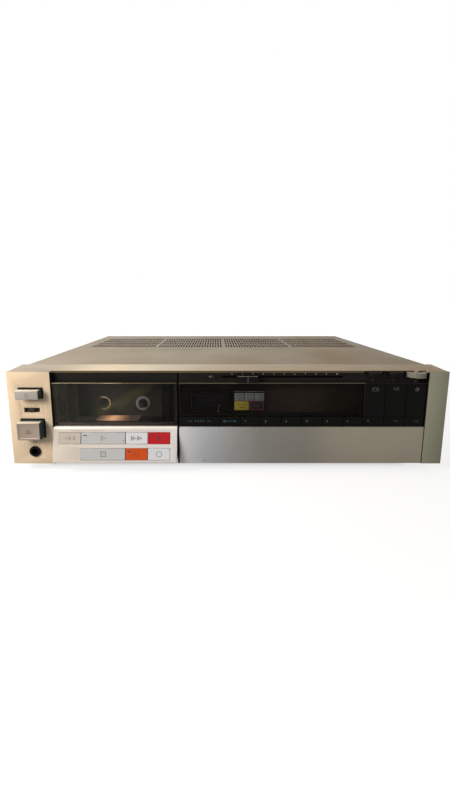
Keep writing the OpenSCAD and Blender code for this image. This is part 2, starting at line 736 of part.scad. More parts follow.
module cassette_holder() color([0.16, 0.16, 0.16]) {
    for (side = [-1, 1]) {
        outer = side < 0
            ? [door_x[0] + 1, door_x[0] + 1 + cheek_t]
            : [door_x[1] - 1 - cheek_t, door_x[1] - 1];
        wall = side < 0
            ? [channel_x[0] - holder_wall, channel_x[0]]
            : [channel_x[1], channel_x[1] + holder_wall];
        front_lip = side < 0 ? [wall[0], channel_x[0] + lip_w] : [channel_x[1] - lip_w, wall[1]];
        back_lip = side < 0 ? [wall[0], channel_x[0] + 2] : [channel_x[1] - 2, wall[1]];
        stop = side < 0 ? [wall[0], channel_x[0] + 12] : [channel_x[1] - 12, wall[1]];
        bar(outer, [strip_back, cassette_front], [holder_z[0], shelf_z]);
        bar(wall, [cassette_front - holder_wall, holder_back], holder_z);
        bar(front_lip, [cassette_front - holder_wall, cassette_front], holder_z);
        bar(back_lip, [cassette_back, holder_back], holder_z);
        bar(stop, [cassette_front, cassette_back], [cassette_z - 2, cassette_z - 0.4]);
    }
    bar([door_x[0] + 1, door_x[1] - 1], [cassette_front - holder_wall, cassette_front],
        [holder_z[0], cassette_z + 4]);
    bar(shelf_x, [strip_back, cassette_front], [shelf_z - 2, shelf_z]);
}

shelf_x = [channel_x[0] + lip_w, channel_x[1] - lip_w];
lens_w = 44;
lens_r = 3;
lens_ribs = 36;

module lamp_lens() color([0.75, 0.6, 0.45]) {
    lens_t = [cassette_front - 14.5, cassette_front - 0.5];
    difference() {
        translate([cassette_x - lens_w / 2, face_y + lens_t[0], shelf_z]) linear_extrude(1.2) union() {
            translate([lens_r, 0]) square([lens_w - 2 * lens_r, lens_t[1] - lens_t[0]]);
            translate([0, lens_r]) square([lens_w, lens_t[1] - lens_t[0] - 2 * lens_r]);
            for (x = [lens_r, lens_w - lens_r], y = [lens_r, lens_t[1] - lens_t[0] - lens_r])
                translate([x, y]) circle(lens_r);
        }
        for (k = [0:lens_ribs - 1]) {
            groove_x = cassette_x + (k + 0.5 - lens_ribs / 2) * lens_w / lens_ribs;
            bar([groove_x - 0.3, groove_x + 0.3], [lens_t[0] - cut, lens_t[1] + cut],
                [shelf_z + 0.8, shelf_z + 0.8 + cut]);
        }
    }
}

// Tape transport behind the door

module deck_plate() color([0.22, 0.22, 0.22]) difference() {
    union() {
        bar([door_x[0] + 1, door_x[1] - 1], [deck_set, deck_set + deck_t], [floor_z, lip_z - 2]);
        bar([door_x[0] + 1, door_x[1] - 1], [deck_set + deck_t, deck_set + 24], [floor_z, floor_z + deck_t]);
        for (x = [door_x[0] + 1, door_x[1] - 3])
            profile([x, x + 2], [
                [deck_set + deck_t, floor_z + deck_t], [deck_set + 24, floor_z + deck_t],
                [deck_set + deck_t, floor_z + 60]
            ]);
        rod(capstan_x, capstan_z, [deck_set, deck_set + deck_t + 1.5], 4);
    }
    for (side = [-1, 1])
        rod(cassette_x + side * hub_spacing / 2, hub_z, [deck_set - cut, deck_set + deck_t + cut],
            reel_shaft_r + running);
    rod(capstan_x, capstan_z, [deck_set - cut, deck_set + deck_t + 1.5 + cut], capstan_r + running);
}

reel_shaft_r = 2.45;

module reel(side) color([0.75, 0.75, 0.77]) {
    x = cassette_x + side * hub_spacing / 2;
    difference() {
        rod(x, hub_z, [table_set, table_set + table_t], reel_r);
        rod(x, hub_z, [table_set - cut, table_set + 0.5], reel_r - 3);
    }
    rod(x, hub_z, [table_set - 9.2, table_set + table_t], 2.6);
    for (turn = [0:60:300])
        translate([x, face_y + table_set - 7.5, hub_z]) rotate([0, turn, 0])
            translate([0, 0, -0.5]) cube([4.2, 7.5 + table_t / 2, 1]);
    rod(x, hub_z, [table_set + table_t, deck_set + deck_t + 2.3], reel_shaft_r);
    rod(x, hub_z, [deck_set + deck_t + clear, deck_set + deck_t + 2.3], 4);
}

motor_set = deck_set + deck_t + 10.4;

module flywheel() color([0.6, 0.6, 0.62]) {
    rod(capstan_x, capstan_z, [cassette_front + 2, motor_set - clear], capstan_r);
    difference() {
        rod(capstan_x, capstan_z, [deck_set + deck_t + 1.8, motor_set - clear], flywheel_r);
        rod(capstan_x, capstan_z, [deck_set + deck_t + 5, motor_set], flywheel_r - 4);
    }
    rod(capstan_x, capstan_z, [deck_set + deck_t + 1.8, motor_set - clear], 5);
}

// The capstan's flat motor behind the flywheel, and the reels' round motor on its saddle
stator_w = 36;
stator_t = 4;
stator_cap = [12, 5];
reel_motor_r = 14;
reel_motor_l = 21;
reel_motor_x = cassette_x - 26;
saddle_size = [20, 12];

module deck_motors() color([0.45, 0.45, 0.47]) {
    motor_z = floor_z + deck_t;
    motor_front = deck_set + deck_t;
    bar([capstan_x - stator_w / 2, capstan_x + stator_w / 2], [motor_set, motor_set + stator_t],
        [motor_z, capstan_z + stator_w / 2]);
    rod(capstan_x, capstan_z, [motor_set + stator_t, motor_set + stator_t + stator_cap[1]], stator_cap[0]);
    difference() {
        union() {
            rod(reel_motor_x, motor_z + reel_motor_r + 3,
                [motor_front, motor_front + reel_motor_l], reel_motor_r);
            bar([reel_motor_x - saddle_size[0] / 2, reel_motor_x + saddle_size[0] / 2],
                [motor_front, motor_front + reel_motor_l - 3], [motor_z, motor_z + saddle_size[1]]);
        }
        rod(reel_motor_x, motor_z + reel_motor_r + 3,
            [motor_front + reel_motor_l - 1, motor_front + reel_motor_l + cut], reel_motor_r - 4);
    }
}

// The bridge carries the record head, the erase head and the pinch roller
bridge_t = [cassette_back - 6, deck_set - clear];
bridge_z = [cassette_z - 14, cassette_z - 8.5];
head_front = cassette_front + 2;
head_h = 7;
head_w = 11;
erase_head_w = 8;
erase_head_x = cassette_x - 22;
roller_gap = 0.15;
roller_pin_r = 1.2;
roller_z = capstan_z - capstan_r - roller_r - roller_gap - head_lift;

module head(x, w)
    bar([x - w / 2, x + w / 2], [head_front, bridge_t[1]], [bridge_z[1], bridge_z[1] + head_h]);

module head_bridge() color([0.6, 0.6, 0.58]) {
    bar([cassette_x - 28, cassette_x + 38], bridge_t, bridge_z);
    head(cassette_x, head_w);
    head(erase_head_x, erase_head_w);
    rod(capstan_x, roller_z, [head_front, bridge_t[1]], roller_pin_r);
    rod(capstan_x, roller_z, [head_front + 1, bridge_t[1] - 2], roller_r);
}

// Inside the cabinet

pillar_h = 6;
pillar_r = 3;
pillar_inset = 6;
board_x = [-20, inner_x - 15];
board_span = [70, cabinet_d - 120];
board_z = [floor_z + pillar_h, floor_z + pillar_h + board_t];
capacitor_r = 11;
capacitor_h = 35;
capacitor_pitch = 30;
chip_size = [20, 8, 3.4];
chip_pitch = 40;
tuner_size = [50, 70, 20.4];

// A block that stands on the main board, from its left front corner
module on_board(x, t, size)
    bar([x, x + size[0]], [t, t + size[1]], [board_z[1], board_z[1] + size[2]]);

module main_board() color([0.2, 0.4, 0.2]) {
    bar(board_x, board_span, board_z);
    for (x = [board_x[0] + pillar_inset, board_x[1] - pillar_inset],
         t = [board_span[0] + pillar_inset, board_span[1] - pillar_inset])
        translate([x, face_y + t, floor_z]) cylinder(h = pillar_h, r = pillar_r);
    for (k = [0:2])
        translate([board_x[0] + (k + 1) * capacitor_pitch, face_y + board_span[1] - 25, board_z[1]])
            cylinder(h = capacitor_h, r = capacitor_r);
    for (k = [0:2]) on_board(board_x[0] + 20 + k * chip_pitch, board_span[0] + 30, chip_size);
    on_board(board_x[1] - 10 - tuner_size[0], board_span[0] + 50, tuner_size);
}

// The transformer: foot plate, stack of laminations and winding, each width, depth and height
transformer_x = -inner_x + 62;
transformer_t = cabinet_d - 72.5;
foot_plate = [84, 75, 2];
core_size = [68, 61, 60];
winding_size = [40, 77, 44];

module transformer_block(size, z)
    bar([transformer_x - size[0] / 2, transformer_x + size[0] / 2],
        [transformer_t - size[1] / 2, transformer_t + size[1] / 2], [z, z + size[2]]);

module power_transformer() color([0.5, 0.45, 0.35]) {
    transformer_block(foot_plate, floor_z);
    transformer_block(core_size, floor_z + foot_plate[2]);
    transformer_block(winding_size, floor_z + foot_plate[2] + (core_size[2] - winding_size[2]) / 2);
}

fins = 16;
fin_t = 2;
sink_w = 170;
sink_h = 70;
sink_t = 4;
fin_depth = 28;
sink_x = [-52, -52 + sink_w];
sink_z = [floor_z, floor_z + sink_h];
fin_back = cabinet_d - 53;
sink_base = [fin_back - fin_depth - sink_t, fin_back - fin_depth];
fin_pitch = (sink_w - fin_t) / (fins - 1);

module heat_sink() color([0.15, 0.15, 0.15]) {
    bar(sink_x, sink_base, sink_z);
    for (k = [0:fins - 1])
        bar([sink_x[0] + k * fin_pitch, sink_x[0] + k * fin_pitch + fin_t], [sink_base[1], fin_back], sink_z);
}

// Rear connections

plate_t = 2;
inlet_x = [-inner_x + 22, -inner_x + 46];
inlet_z = [floor_z + 14, floor_z + 30];
inlet_back = cabinet_d - 18;
inlet_floor = cabinet_d - 14;
inlet_mouth = [8.2, 4.5];
mains_pin_r = 1.2;
mains_pin_x = 4.3;

module mains_inlet() color([0.1, 0.1, 0.1]) difference() {
    union() {
        bar([inlet_x[0] - 2, inlet_x[1] + 2], [cabinet_d, cabinet_d + plate_t],
            [inlet_z[0] - 2, inlet_z[1] + 2]);
        bar([inlet_x[0] + clear, inlet_x[1] - clear], [inlet_back, cabinet_d],
            [inlet_z[0] + clear, inlet_z[1] - clear]);
    }
    difference() {
        bar([middle(inlet_x) - inlet_mouth[0], middle(inlet_x) + inlet_mouth[0]],
            [inlet_floor, cabinet_d + plate_t + cut],
            [middle(inlet_z) - inlet_mouth[1], middle(inlet_z) + inlet_mouth[1]]);
        for (side = [-1, 1])
            rod(middle(inlet_x) + side * mains_pin_x, middle(inlet_z),
                [inlet_floor, cabinet_d - 3], mains_pin_r);
    }
}

// Spring terminals: two rows of four wire holes, each with its lever
terminal_pitch = [20, 17];
terminal_t = 3;
terminal_h = 30;
lever_size = [10, 6];
wire_r = 1.5;
speaker_x = [-90, -90 + 4 * terminal_pitch[0]];
speaker_z = [floor_z + 16, floor_z + 16 + terminal_h];
terminals = [for (col = [0:3], row = [0, 1])
    [speaker_x[0] + (col + 0.5) * terminal_pitch[0], speaker_z[0] + 6 + row * terminal_pitch[1]]];

module speaker_terminals() color([0.1, 0.1, 0.1]) {
    face = [cabinet_d, cabinet_d + terminal_t];
    difference() {
        bar([speaker_x[0] - 3, speaker_x[1] + 3], face, [speaker_z[0] - 3, speaker_z[1] + 3]);
        for (place = terminals)
            rod(place[0], place[1], [cabinet_d - cut, cabinet_d + terminal_t + cut], wire_r);
    }
    for (place = terminals)
        bar([place[0] - lever_size[0] / 2, place[0] + lever_size[0] / 2], [face[1], cabinet_d + rear_reach],
            [place[1] + 3, place[1] + 3 + lever_size[1]]);
    bar([speaker_x[0] + clear, speaker_x[1] - clear], [cabinet_d - 12, cabinet_d],
        [speaker_z[0] + clear, speaker_z[1] - clear]);
}

// Two rows of phono sockets, and a strip of aerial screws
phono_cols = 5;
phono_pitch = 19;
phono_x = 20;
phono_z = floor_z + 20;
phono_bore = 1.7;
phono_margin = 9;
aerial_x = phono_x + phono_cols * phono_pitch + 10;
aerial_size = [50, 4, 14];
aerial_pitch = 12;
aerial_screw_r = 3.5;

module phono_socket(x, z) {
    rod(x, z, [cabinet_d + plate_t, cabinet_d + rear_reach], phono_r);
    rod(x, z, [cabinet_d - 8, cabinet_d], phono_r / 2);
}

module signal_sockets() color([0.3, 0.3, 0.3]) {
    places = [
        for (col = [0:phono_cols - 1], row = [0, 1])
            [phono_x + col * phono_pitch, phono_z + row * phono_pitch]
    ];
    difference() {
        union() {
            bar([phono_x - phono_margin, phono_x + (phono_cols - 1) * phono_pitch + phono_margin],
                [cabinet_d, cabinet_d + plate_t],
                [phono_z - phono_margin, phono_z + phono_pitch + phono_margin]);
            for (place = places) phono_socket(place[0], place[1]);
        }
        for (place = places)
            rod(place[0], place[1], [cabinet_d + 1, cabinet_d + rear_reach + cut], phono_bore);
    }
    bar([aerial_x, aerial_x + aerial_size[0]], [cabinet_d, cabinet_d + aerial_size[1]],
        [phono_z - 4, phono_z - 4 + aerial_size[2]]);
    for (k = [0:3])
        rod(aerial_x + 7 + k * aerial_pitch, phono_z + 3,
            [cabinet_d + aerial_size[1], cabinet_d + 9], aerial_screw_r);
}

bottom_tray();
rear_panel();
top_cover();
front_bezel();
feet();
case_screws();
fascia();
display_window();
display_unit();
front_board();
control_recess();
main_board();
power_transformer();
heat_sink();
speaker_terminals();
signal_sockets();
mains_inlet();
headphone_jack();
deck_plate();
deck_motors();
door_frame();
door_window();
control_panel();
cassette_holder();
lamp_lens();
reel(-1);  // supply_reel
reel(1);  // takeup_reel
flywheel();
head_bridge();
transport_key(0, [0.8, 0.76, 0.72]);  // rewind_key
transport_key(1, [0.78, 0.78, 0.77]);  // play_key
transport_key(2, [0.88, 0.9, 0.94]);  // fast_forward_key
transport_key(3, [0.78, 0.14, 0.18]);  // record_key
transport_key(4, [0.78, 0.78, 0.77]);  // stop_key
transport_key(5, [0.87, 0.38, 0.12]);  // pause_key
transport_key(6, [0.86, 0.85, 0.83]);  // mute_key
low_key(0);  // counter_reset_key
low_key(1);  // memory_key
low_key(2);  // preset_key_1
low_key(3);  // preset_key_2
low_key(4);  // preset_key_3
low_key(5);  // preset_key_4
low_key(6);  // preset_key_5
low_key(7);  // preset_key_6
low_key(8);  // preset_key_7
low_key(9);  // am_key
low_key(10);  // fm_key
source_key(0);  // tape_key
source_key(1);  // tuner_key
source_key(2);  // phono_key
power_button();
timer_switch();
eject_button();
volume_knob();
wheel(0, [0.08, 0.08, 0.08]);  // bass_wheel
wheel(1, [0.08, 0.08, 0.08]);  // treble_wheel
wheel(2, [0.85, 0.83, 0.8]);  // balance_wheel
flap();
level_knob();
tuning_rocker();
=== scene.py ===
import math
import bmesh
import bpy
from mathutils import Matrix, Vector


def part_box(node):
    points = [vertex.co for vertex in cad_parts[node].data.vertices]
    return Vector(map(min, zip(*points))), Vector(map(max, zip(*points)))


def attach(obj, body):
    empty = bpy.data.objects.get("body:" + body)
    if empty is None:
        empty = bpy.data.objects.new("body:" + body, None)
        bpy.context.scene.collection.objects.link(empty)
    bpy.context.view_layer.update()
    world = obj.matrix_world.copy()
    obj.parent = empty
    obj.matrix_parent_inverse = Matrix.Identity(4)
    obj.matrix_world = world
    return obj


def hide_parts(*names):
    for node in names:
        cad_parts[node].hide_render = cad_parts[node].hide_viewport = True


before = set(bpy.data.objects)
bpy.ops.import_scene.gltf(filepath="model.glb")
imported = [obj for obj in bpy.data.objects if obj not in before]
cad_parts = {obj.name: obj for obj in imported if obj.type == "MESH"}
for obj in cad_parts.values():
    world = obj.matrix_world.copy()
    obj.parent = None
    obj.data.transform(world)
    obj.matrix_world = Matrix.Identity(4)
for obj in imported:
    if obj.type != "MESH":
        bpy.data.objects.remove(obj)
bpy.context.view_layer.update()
print("frame loaded:", len(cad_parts), "nodes")

mm = 0.001
faceY = -0.1675   # the end panels' faces; depths below are millimetres behind them
quarterTurn = math.radians(90)


def place(x, depth, z):
    return Vector((x * mm, faceY + depth * mm, z * mm))


def depthY(depth):
    return place(0, depth, 0).y


def tone(red, green, blue):
    linear = [c / 255 / 12.92 if c < 11 else ((c / 255 + 0.055) / 1.055) ** 2.4 for c in (red, green, blue)]
    return (*linear, 1)


# Selecting and shaping

def selectOnly(piece, others=()):
    bpy.ops.object.select_all(action="DESELECT")
    for each in (*others, piece):
        each.select_set(True)
    bpy.context.view_layer.objects.active = piece


def added(name, addShape, **settings):
    bpy.ops.object.select_all(action="DESELECT")
    addShape(**settings)
    bpy.context.object.name = name
    bpy.ops.object.transform_apply(location=True, rotation=True, scale=True)
    return bpy.context.object


def addBlock(name, xs, depths, zs):
    size = [(high - low) * mm for low, high in (xs, depths, zs)]
    return added(name, bpy.ops.mesh.primitive_cube_add, size=1, scale=size,
                 location=place(sum(xs) / 2, sum(depths) / 2, sum(zs) / 2))


def addRod(name, x, z, depths, radius, sides=32):
    return added(name, bpy.ops.mesh.primitive_cylinder_add, vertices=sides, radius=radius * mm,
                 depth=(depths[1] - depths[0]) * mm, location=place(x, sum(depths) / 2, z),
                 rotation=(quarterTurn, 0, 0))


def addPost(name, x, depth, zs, radius, sides=32):
    return added(name, bpy.ops.mesh.primitive_cylinder_add, vertices=sides, radius=radius * mm,
                 depth=(zs[1] - zs[0]) * mm, location=place(x, depth, sum(zs) / 2))


def addAxle(name, xs, radius, depth, z):
    rod = addRod(name, 0, 0, xs, radius)
    rod.data.transform(Matrix.Translation(place(0, depth, z)) @ Matrix.Rotation(-quarterTurn, 4, "Z")
                       @ Matrix.Translation(-place(0, 0, 0)))
    return rod


def pick(piece, kind, chosen):
    # Edit mode with some faces selected, by centre and normal, or some edges, by their two ends
    selectOnly(piece)
    bpy.ops.object.mode_set(mode="EDIT")
    bpy.ops.mesh.select_mode(type=kind)
    bpy.ops.mesh.select_all(action="DESELECT")
    shape = bmesh.from_edit_mesh(piece.data)
    if kind == "FACE":
        parts = [(face, face.calc_center_median(), face.normal) for face in shape.faces]
    else:
        parts = [(edge, edge.verts[0].co, edge.verts[1].co) for edge in shape.edges]
    for part, first, second in parts:
        part.select_set(bool(chosen(first, second)))
    bmesh.update_edit_mesh(piece.data)


def endEdit():
    bpy.ops.object.mode_set(mode="OBJECT")


def near(a, b, slack=0.05):
    return abs(a - b) < slack * mm


def insetFaces(piece, chosen, *steps, apart=False):
    pick(piece, "FACE", chosen)
    for width, depth in steps:
        bpy.ops.mesh.inset(thickness=width * mm, depth=depth * mm, use_individual=apart)
    endEdit()


def bevelEdges(piece, width, segments, chosen):
    pick(piece, "EDGE", chosen)
    bpy.ops.mesh.bevel(offset=width * mm, segments=segments, affect="EDGES")
    endEdit()


def cutAcross(piece, point, normal):
    pick(piece, "FACE", lambda c, n: True)
    bpy.ops.mesh.bisect(plane_co=point, plane_no=normal)
    endEdit()


def applyModifier(piece, kind, **values):
    selectOnly(piece)
    modifier = piece.modifiers.new(kind.title(), kind)
    for key, value in values.items():
        setattr(modifier, key, value)
    bpy.ops.object.modifier_apply(modifier=modifier.name)


def smoothShade(piece):
    selectOnly(piece)
    bpy.ops.object.shade_smooth_by_angle(angle=math.radians(32))


def roundEdges(piece, width, segments=2, angle=35):
    applyModifier(piece, "BEVEL", width=width * mm, segments=segments, limit_method="ANGLE",
                  angle_limit=math.radians(angle), miter_outer="MITER_ARC", use_clamp_overlap=True)
    smoothShade(piece)


def carve(piece, cutter):
    applyModifier(piece, "BOOLEAN", object=cutter, operation="DIFFERENCE", solver="EXACT")
    bpy.data.objects.remove(cutter)


def joinPieces(piece, others):
    selectOnly(piece, others)
    bpy.ops.object.join()
    return piece


def refinedCopy(node, name, rounding=0):
    piece = bpy.data.objects.new(name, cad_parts[node].data.copy())
    bpy.context.scene.collection.objects.link(piece)
    selectOnly(piece)
    bpy.ops.mesh.customdata_custom_splitnormals_clear()
    bpy.ops.object.mode_set(mode="EDIT")
    bpy.ops.mesh.select_all(action="SELECT")
    bpy.ops.mesh.remove_doubles(threshold=0.002 * mm)
    bpy.ops.mesh.tris_convert_to_quads(face_threshold=math.radians(1), shape_threshold=math.radians(180))
    endEdit()
    if rounding:
        roundEdges(piece, rounding)
    else:
        smoothShade(piece)
    return piece


def finishPiece(piece, body, finishes, node=None, rules=()):
    # Each rule gives the faces it chooses, by centre and normal, another of the finishes
    piece.data.materials.clear()
    for finish in finishes:
        piece.data.materials.append(finish)
    for index, chosen in rules:
        for face in piece.data.polygons:
            if chosen(face.center, face.normal):
                face.material_index = index
    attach(piece, body)
    if node:
        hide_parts(node)


def makeBlock(name, xs, depths, zs, rounding, body, finish, cutters=(), angle=35, node=None):
    block = addBlock(name, xs, depths, zs)
    for cutter in cutters:
        carve(block, cutter)
    roundEdges(block, rounding, 2, angle)
    finishPiece(block, body, (finish,), node)


def dress(node, name, body, rounding, finishes, rules=()):
    finishPiece(refinedCopy(node, name, rounding), body, finishes, node, rules)


# Flat marks: outlines and numerals become thin meshes on the surface they are printed on
inkThickness = 0.04 * mm
panelTopZ = 46.9
panelSlant = math.radians(13.0576)
panelFrame = Matrix.Translation(place(0, 0, panelTopZ)) @ Matrix.Rotation(-panelSlant, 4, "X")


def addOutline(name, loops):
    curve = bpy.data.curves.new(name, "CURVE")
    curve.dimensions = "2D"
    curve.fill_mode = "BOTH"
    curve.extrude = inkThickness / 2
    for loop in loops:
        spline = curve.splines.new("POLY")
        spline.points.add(len(loop) - 1)
        for point, (u, v) in zip(spline.points, loop):
            point.co = (u * mm, v * mm, 0, 1)
        spline.use_cyclic_u = True
    mark = bpy.data.objects.new(name, curve)
    bpy.context.scene.collection.objects.link(mark)
    selectOnly(mark)
    bpy.ops.object.convert(target="MESH")
    return bpy.context.object


def addNumeral(text, height):
    bpy.ops.object.select_all(action="DESELECT")
    bpy.ops.object.text_add(location=(0, 0, 0))
    letters = bpy.context.object.data
    letters.body = text
    letters.size = height * mm / 0.72   # the font's numerals are 0.72 of its size
    letters.align_x = letters.align_y = "CENTER"
    letters.extrude = inkThickness / 2
    letters.resolution_u = 3
    bpy.ops.object.convert(target="MESH")
    return bpy.context.object


def onFront(x, depth, z):
    return Matrix.Translation(place(x, depth, z)) @ Matrix.Rotation(quarterTurn, 4, "X")


def onPanel(x, depth, z):
    return panelFrame @ Matrix.Translation(Vector((x, depth, z)) * mm) @ Matrix.Rotation(quarterTurn, 4, "X")


def printMarks(name, ink, body, marks):
    for mark, spot in marks:
        mark.data.transform(spot)
    piece = joinPieces(marks[0][0], [mark for mark, spot in marks[1:]])
    piece.name = name
    finishPiece(piece, body, (ink,))


def frontMarks(name, ink, body, *marks):
    # Each mark is a spot on a front face and the shapes printed there, each of them a list of loops
    printMarks(name, ink, body, [
        (addOutline(name, loops), onFront(*spot)) for spot, *shapes in marks for loops in shapes])


def disc(u, v, radius, count):
    return [(u + radius * math.cos(2 * math.pi * k / count), v + radius * math.sin(2 * math.pi * k / count))
            for k in range(count)]


def ring(u, v, outer, inner, count):
    return [disc(u, v, outer, count), disc(u, v, inner, count)]


def slab(u0, u1, v0, v1):
    return [(u0, v0), (u1, v0), (u1, v1), (u0, v1)]


def frameLoops(u0, u1, v0, v1, line):
    return [slab(u0, u1, v0, v1), slab(u0 + line, u1 - line, v0 + line, v1 - line)]


def wedge(u, v, width, height):
    return [(u - width / 2, v - height / 2), (u + width / 2, v), (u - width / 2, v + height / 2)]


def wedgeLoops(u, v, width, height, line):
    inner = 1 - 2.6 * line / height
    return [wedge(u, v, width, height), wedge(u - 0.12 * line * abs(width) / width, v, width * inner, height * inner)]


def arcBand(u, v, radius, line, start, end, count=24):
    turns = [math.radians(start + (end - start) * k / count) for k in range(count + 1)]
    return [(u + reach * math.cos(a), v + reach * math.sin(a))
            for reach, angles in ((radius, turns), (radius - line, turns[::-1])) for a in angles]


def waveBand(length, height, cycles, line=0.3, count=40):
    curve = [(length * (k / count - 0.5), height / 2 * math.sin(2 * math.pi * cycles * k / count))
             for k in range(count + 1)]
    return [(u, v + line / 2) for u, v in curve] + [(u, v - line / 2) for u, v in reversed(curve)]


# Finishes

class NodeBench:
    # Adds the nodes of one material or world: what is a socket is linked, any other value is set
    def __init__(self, owner):
        owner.use_nodes = True
        self.owner, self.tree = owner, owner.node_tree

    def fill(self, node, inputs):
        for key, value in inputs.items():
            if isinstance(value, bpy.types.NodeSocket):
                self.tree.links.new(value, node.inputs[key])
            else:
                node.inputs[key].default_value = value
        return node

    def add(self, kind, inputs=None, **values):
        node = self.tree.nodes.new("ShaderNode" + kind)
        for key, value in values.items():
            setattr(node, key, value)
        return self.fill(node, inputs or {})

    def math(self, operation, first, second=0.0):
        return self.add("Math", {0: first, 1: second}, operation=operation).outputs[0]

    def times(self, first, second):
        return self.math("MULTIPLY", first, second)

    def spread(self, value, low, high, outLow=0.0, outHigh=1.0):
        return self.add("MapRange", {"Value": value, "From Min": low, "From Max": high,
                                     "To Min": outLow, "To Max": outHigh}).outputs[0]

    def blend(self, factor, first, second, mode="MIX"):
        first, second = [tone(*value) if isinstance(value, tuple) and len(value) == 3 else value
                         for value in (first, second)]
        return self.add("Mix", {0: factor, 6: first, 7: second}, data_type="RGBA", blend_type=mode).outputs[2]

    def along(self, axis=0):
        return self.add("SeparateXYZ", {0: self.coords}).outputs[axis]

    def stretched(self, scale, turn=(0, 0, 0)):
        return self.add("Mapping", {"Vector": self.coords, "Scale": scale, "Rotation": turn}).outputs[0]

    def noise(self, scale, detail=3, rough=0.5, coords=None):
        return self.add("TexNoise", {"Vector": coords or self.coords, "Scale": scale, "Detail": detail,
                                     "Roughness": rough}).outputs["Fac"]

    def waves(self, axis, scale, distortion, **more):
        return self.add("TexWave", {"Vector": self.coords, "Scale": scale, "Distortion": distortion, **more},
                        bands_direction=axis).outputs["Fac"]

    def edges(self, radius):
        bevel = self.add("Bevel", {"Radius": radius}, samples=4).outputs[0]
        normal = self.add("NewGeometry").outputs["Normal"]
        dot = self.add("VectorMath", {0: bevel, 1: normal}, operation="DOT_PRODUCT").outputs["Value"]
        return self.spread(dot, 0.99, 0.8)

    def aged(self, color, look):
        # Light and shade painted along the front, wandering a little: pairs of a place and the tint it multiplies by
        if "aged" not in look:
            return color
        stops, wander = look["aged"], look.get("paintedLightWander", 0.02)
        start, end = stops[0][0], stops[-1][0]
        uneven = self.math("ADD", self.along(), self.spread(self.noise(9), 0.3, 0.7, -wander, wander))
        ramp = self.add("ValToRGB", {0: self.spread(uneven, start, end)})
        bands = ramp.color_ramp.elements
        bands[0].color, bands[1].color = (*stops[0][1], 1), (*stops[-1][1], 1)
        for spot, tint in stops[1:-1]:
            bands.new((spot - start) / (end - start)).color = (*tint, 1)
        return self.blend(1.0, color, ramp.outputs["Color"], "MULTIPLY")

    def finished(self, color, rough, bump=None, **inputs):
        if bump:
            height, distance, strength = bump
            inputs["Normal"] = self.add("Bump", {
                "Height": height, "Distance": distance * mm, "Strength": strength}).outputs[0]
        self.fill(self.shader, {"Base Color": color, "Roughness": rough, **inputs})
        return self.owner


def newFinish(name):
    bench = NodeBench(bpy.data.materials.new(name))
    bench.shader = bench.tree.nodes["Principled BSDF"]
    bench.coords = bench.add("TexCoord").outputs["Object"]
    return bench


def satinFinish(name, look):
    # Paint or moulded resin: slow tone drift, fine speckle, handling marks, worn edges and a fine grain
    bench = newFinish(name)
    base, drifted, speck, mark = look["tones"]
    drift = bench.spread(bench.noise(14, 4), 0.35, 0.65)
    specks = bench.spread(bench.noise(1400, 2, 0.6), 0.3, 0.7)
    color = bench.blend(drift, base, drifted)
    color = bench.blend(bench.times(specks, look.get("speckle", 0.25)), color, speck)
    marks = bench.noise(look.get("markScale", 70), 6, 0.7, bench.stretched((1, 2.2, 1.4), (0.3, 0.2, 0.7)))
    marks = bench.spread(marks, 0.62, 0.78)
    color = bench.blend(bench.times(marks, look.get("marked", 0.2)), color, mark)
    if "worn" in look:
        worn, amount = look["worn"]
        chips = bench.spread(bench.noise(420, 3, 0.7), 0.42, 0.6)
        color = bench.blend(bench.times(bench.times(bench.edges(0.7 * mm), chips), amount), color, worn)
    rough = bench.math("ADD", bench.spread(drift, 0, 1, *look["roughness"]), bench.times(marks, 0.06))
    grain = bench.noise(look.get("grainScale", 2600), 3, 0.6)
    return bench.finished(bench.aged(color, look), rough, (grain, look.get("grain", 0.02), 0.5), **{
        "Metallic": look.get("metallic", 0.0), "Specular IOR Level": look.get("specular", 0.5)})


def brushedFinish(name, look):
    # Metal brushed along one axis: long fine lines with uneven shine, and a few cross scratches
    bench = newFinish(name)
    lines = bench.noise(1.0, 5, 0.7, bench.stretched(look["stretch"]))
    cloud = bench.spread(bench.noise(look.get("cloudScale", 22), 4, 0.6), 0.3, 0.7)
    color = bench.blend(bench.spread(lines, 0.3, 0.7), look["color"], look["line"])
    color = bench.blend(bench.times(cloud, look["cloudAmount"]), color, look["cloud"])
    scratch = bench.noise(1.0, 2, 0.5, bench.stretched((900, 60, 45), (0.2, 0.5, 0.1)))
    color = bench.blend(bench.times(bench.spread(scratch, 0.7, 0.76), 0.3), color, look["scratch"])
    return bench.finished(
        bench.aged(color, look), bench.spread(lines, 0.25, 0.75, *look["roughness"]),
        (lines, look.get("depth", 0.02), 0.5), Metallic=look["metallic"], Anisotropic=look.get("anisotropic", 0.4))


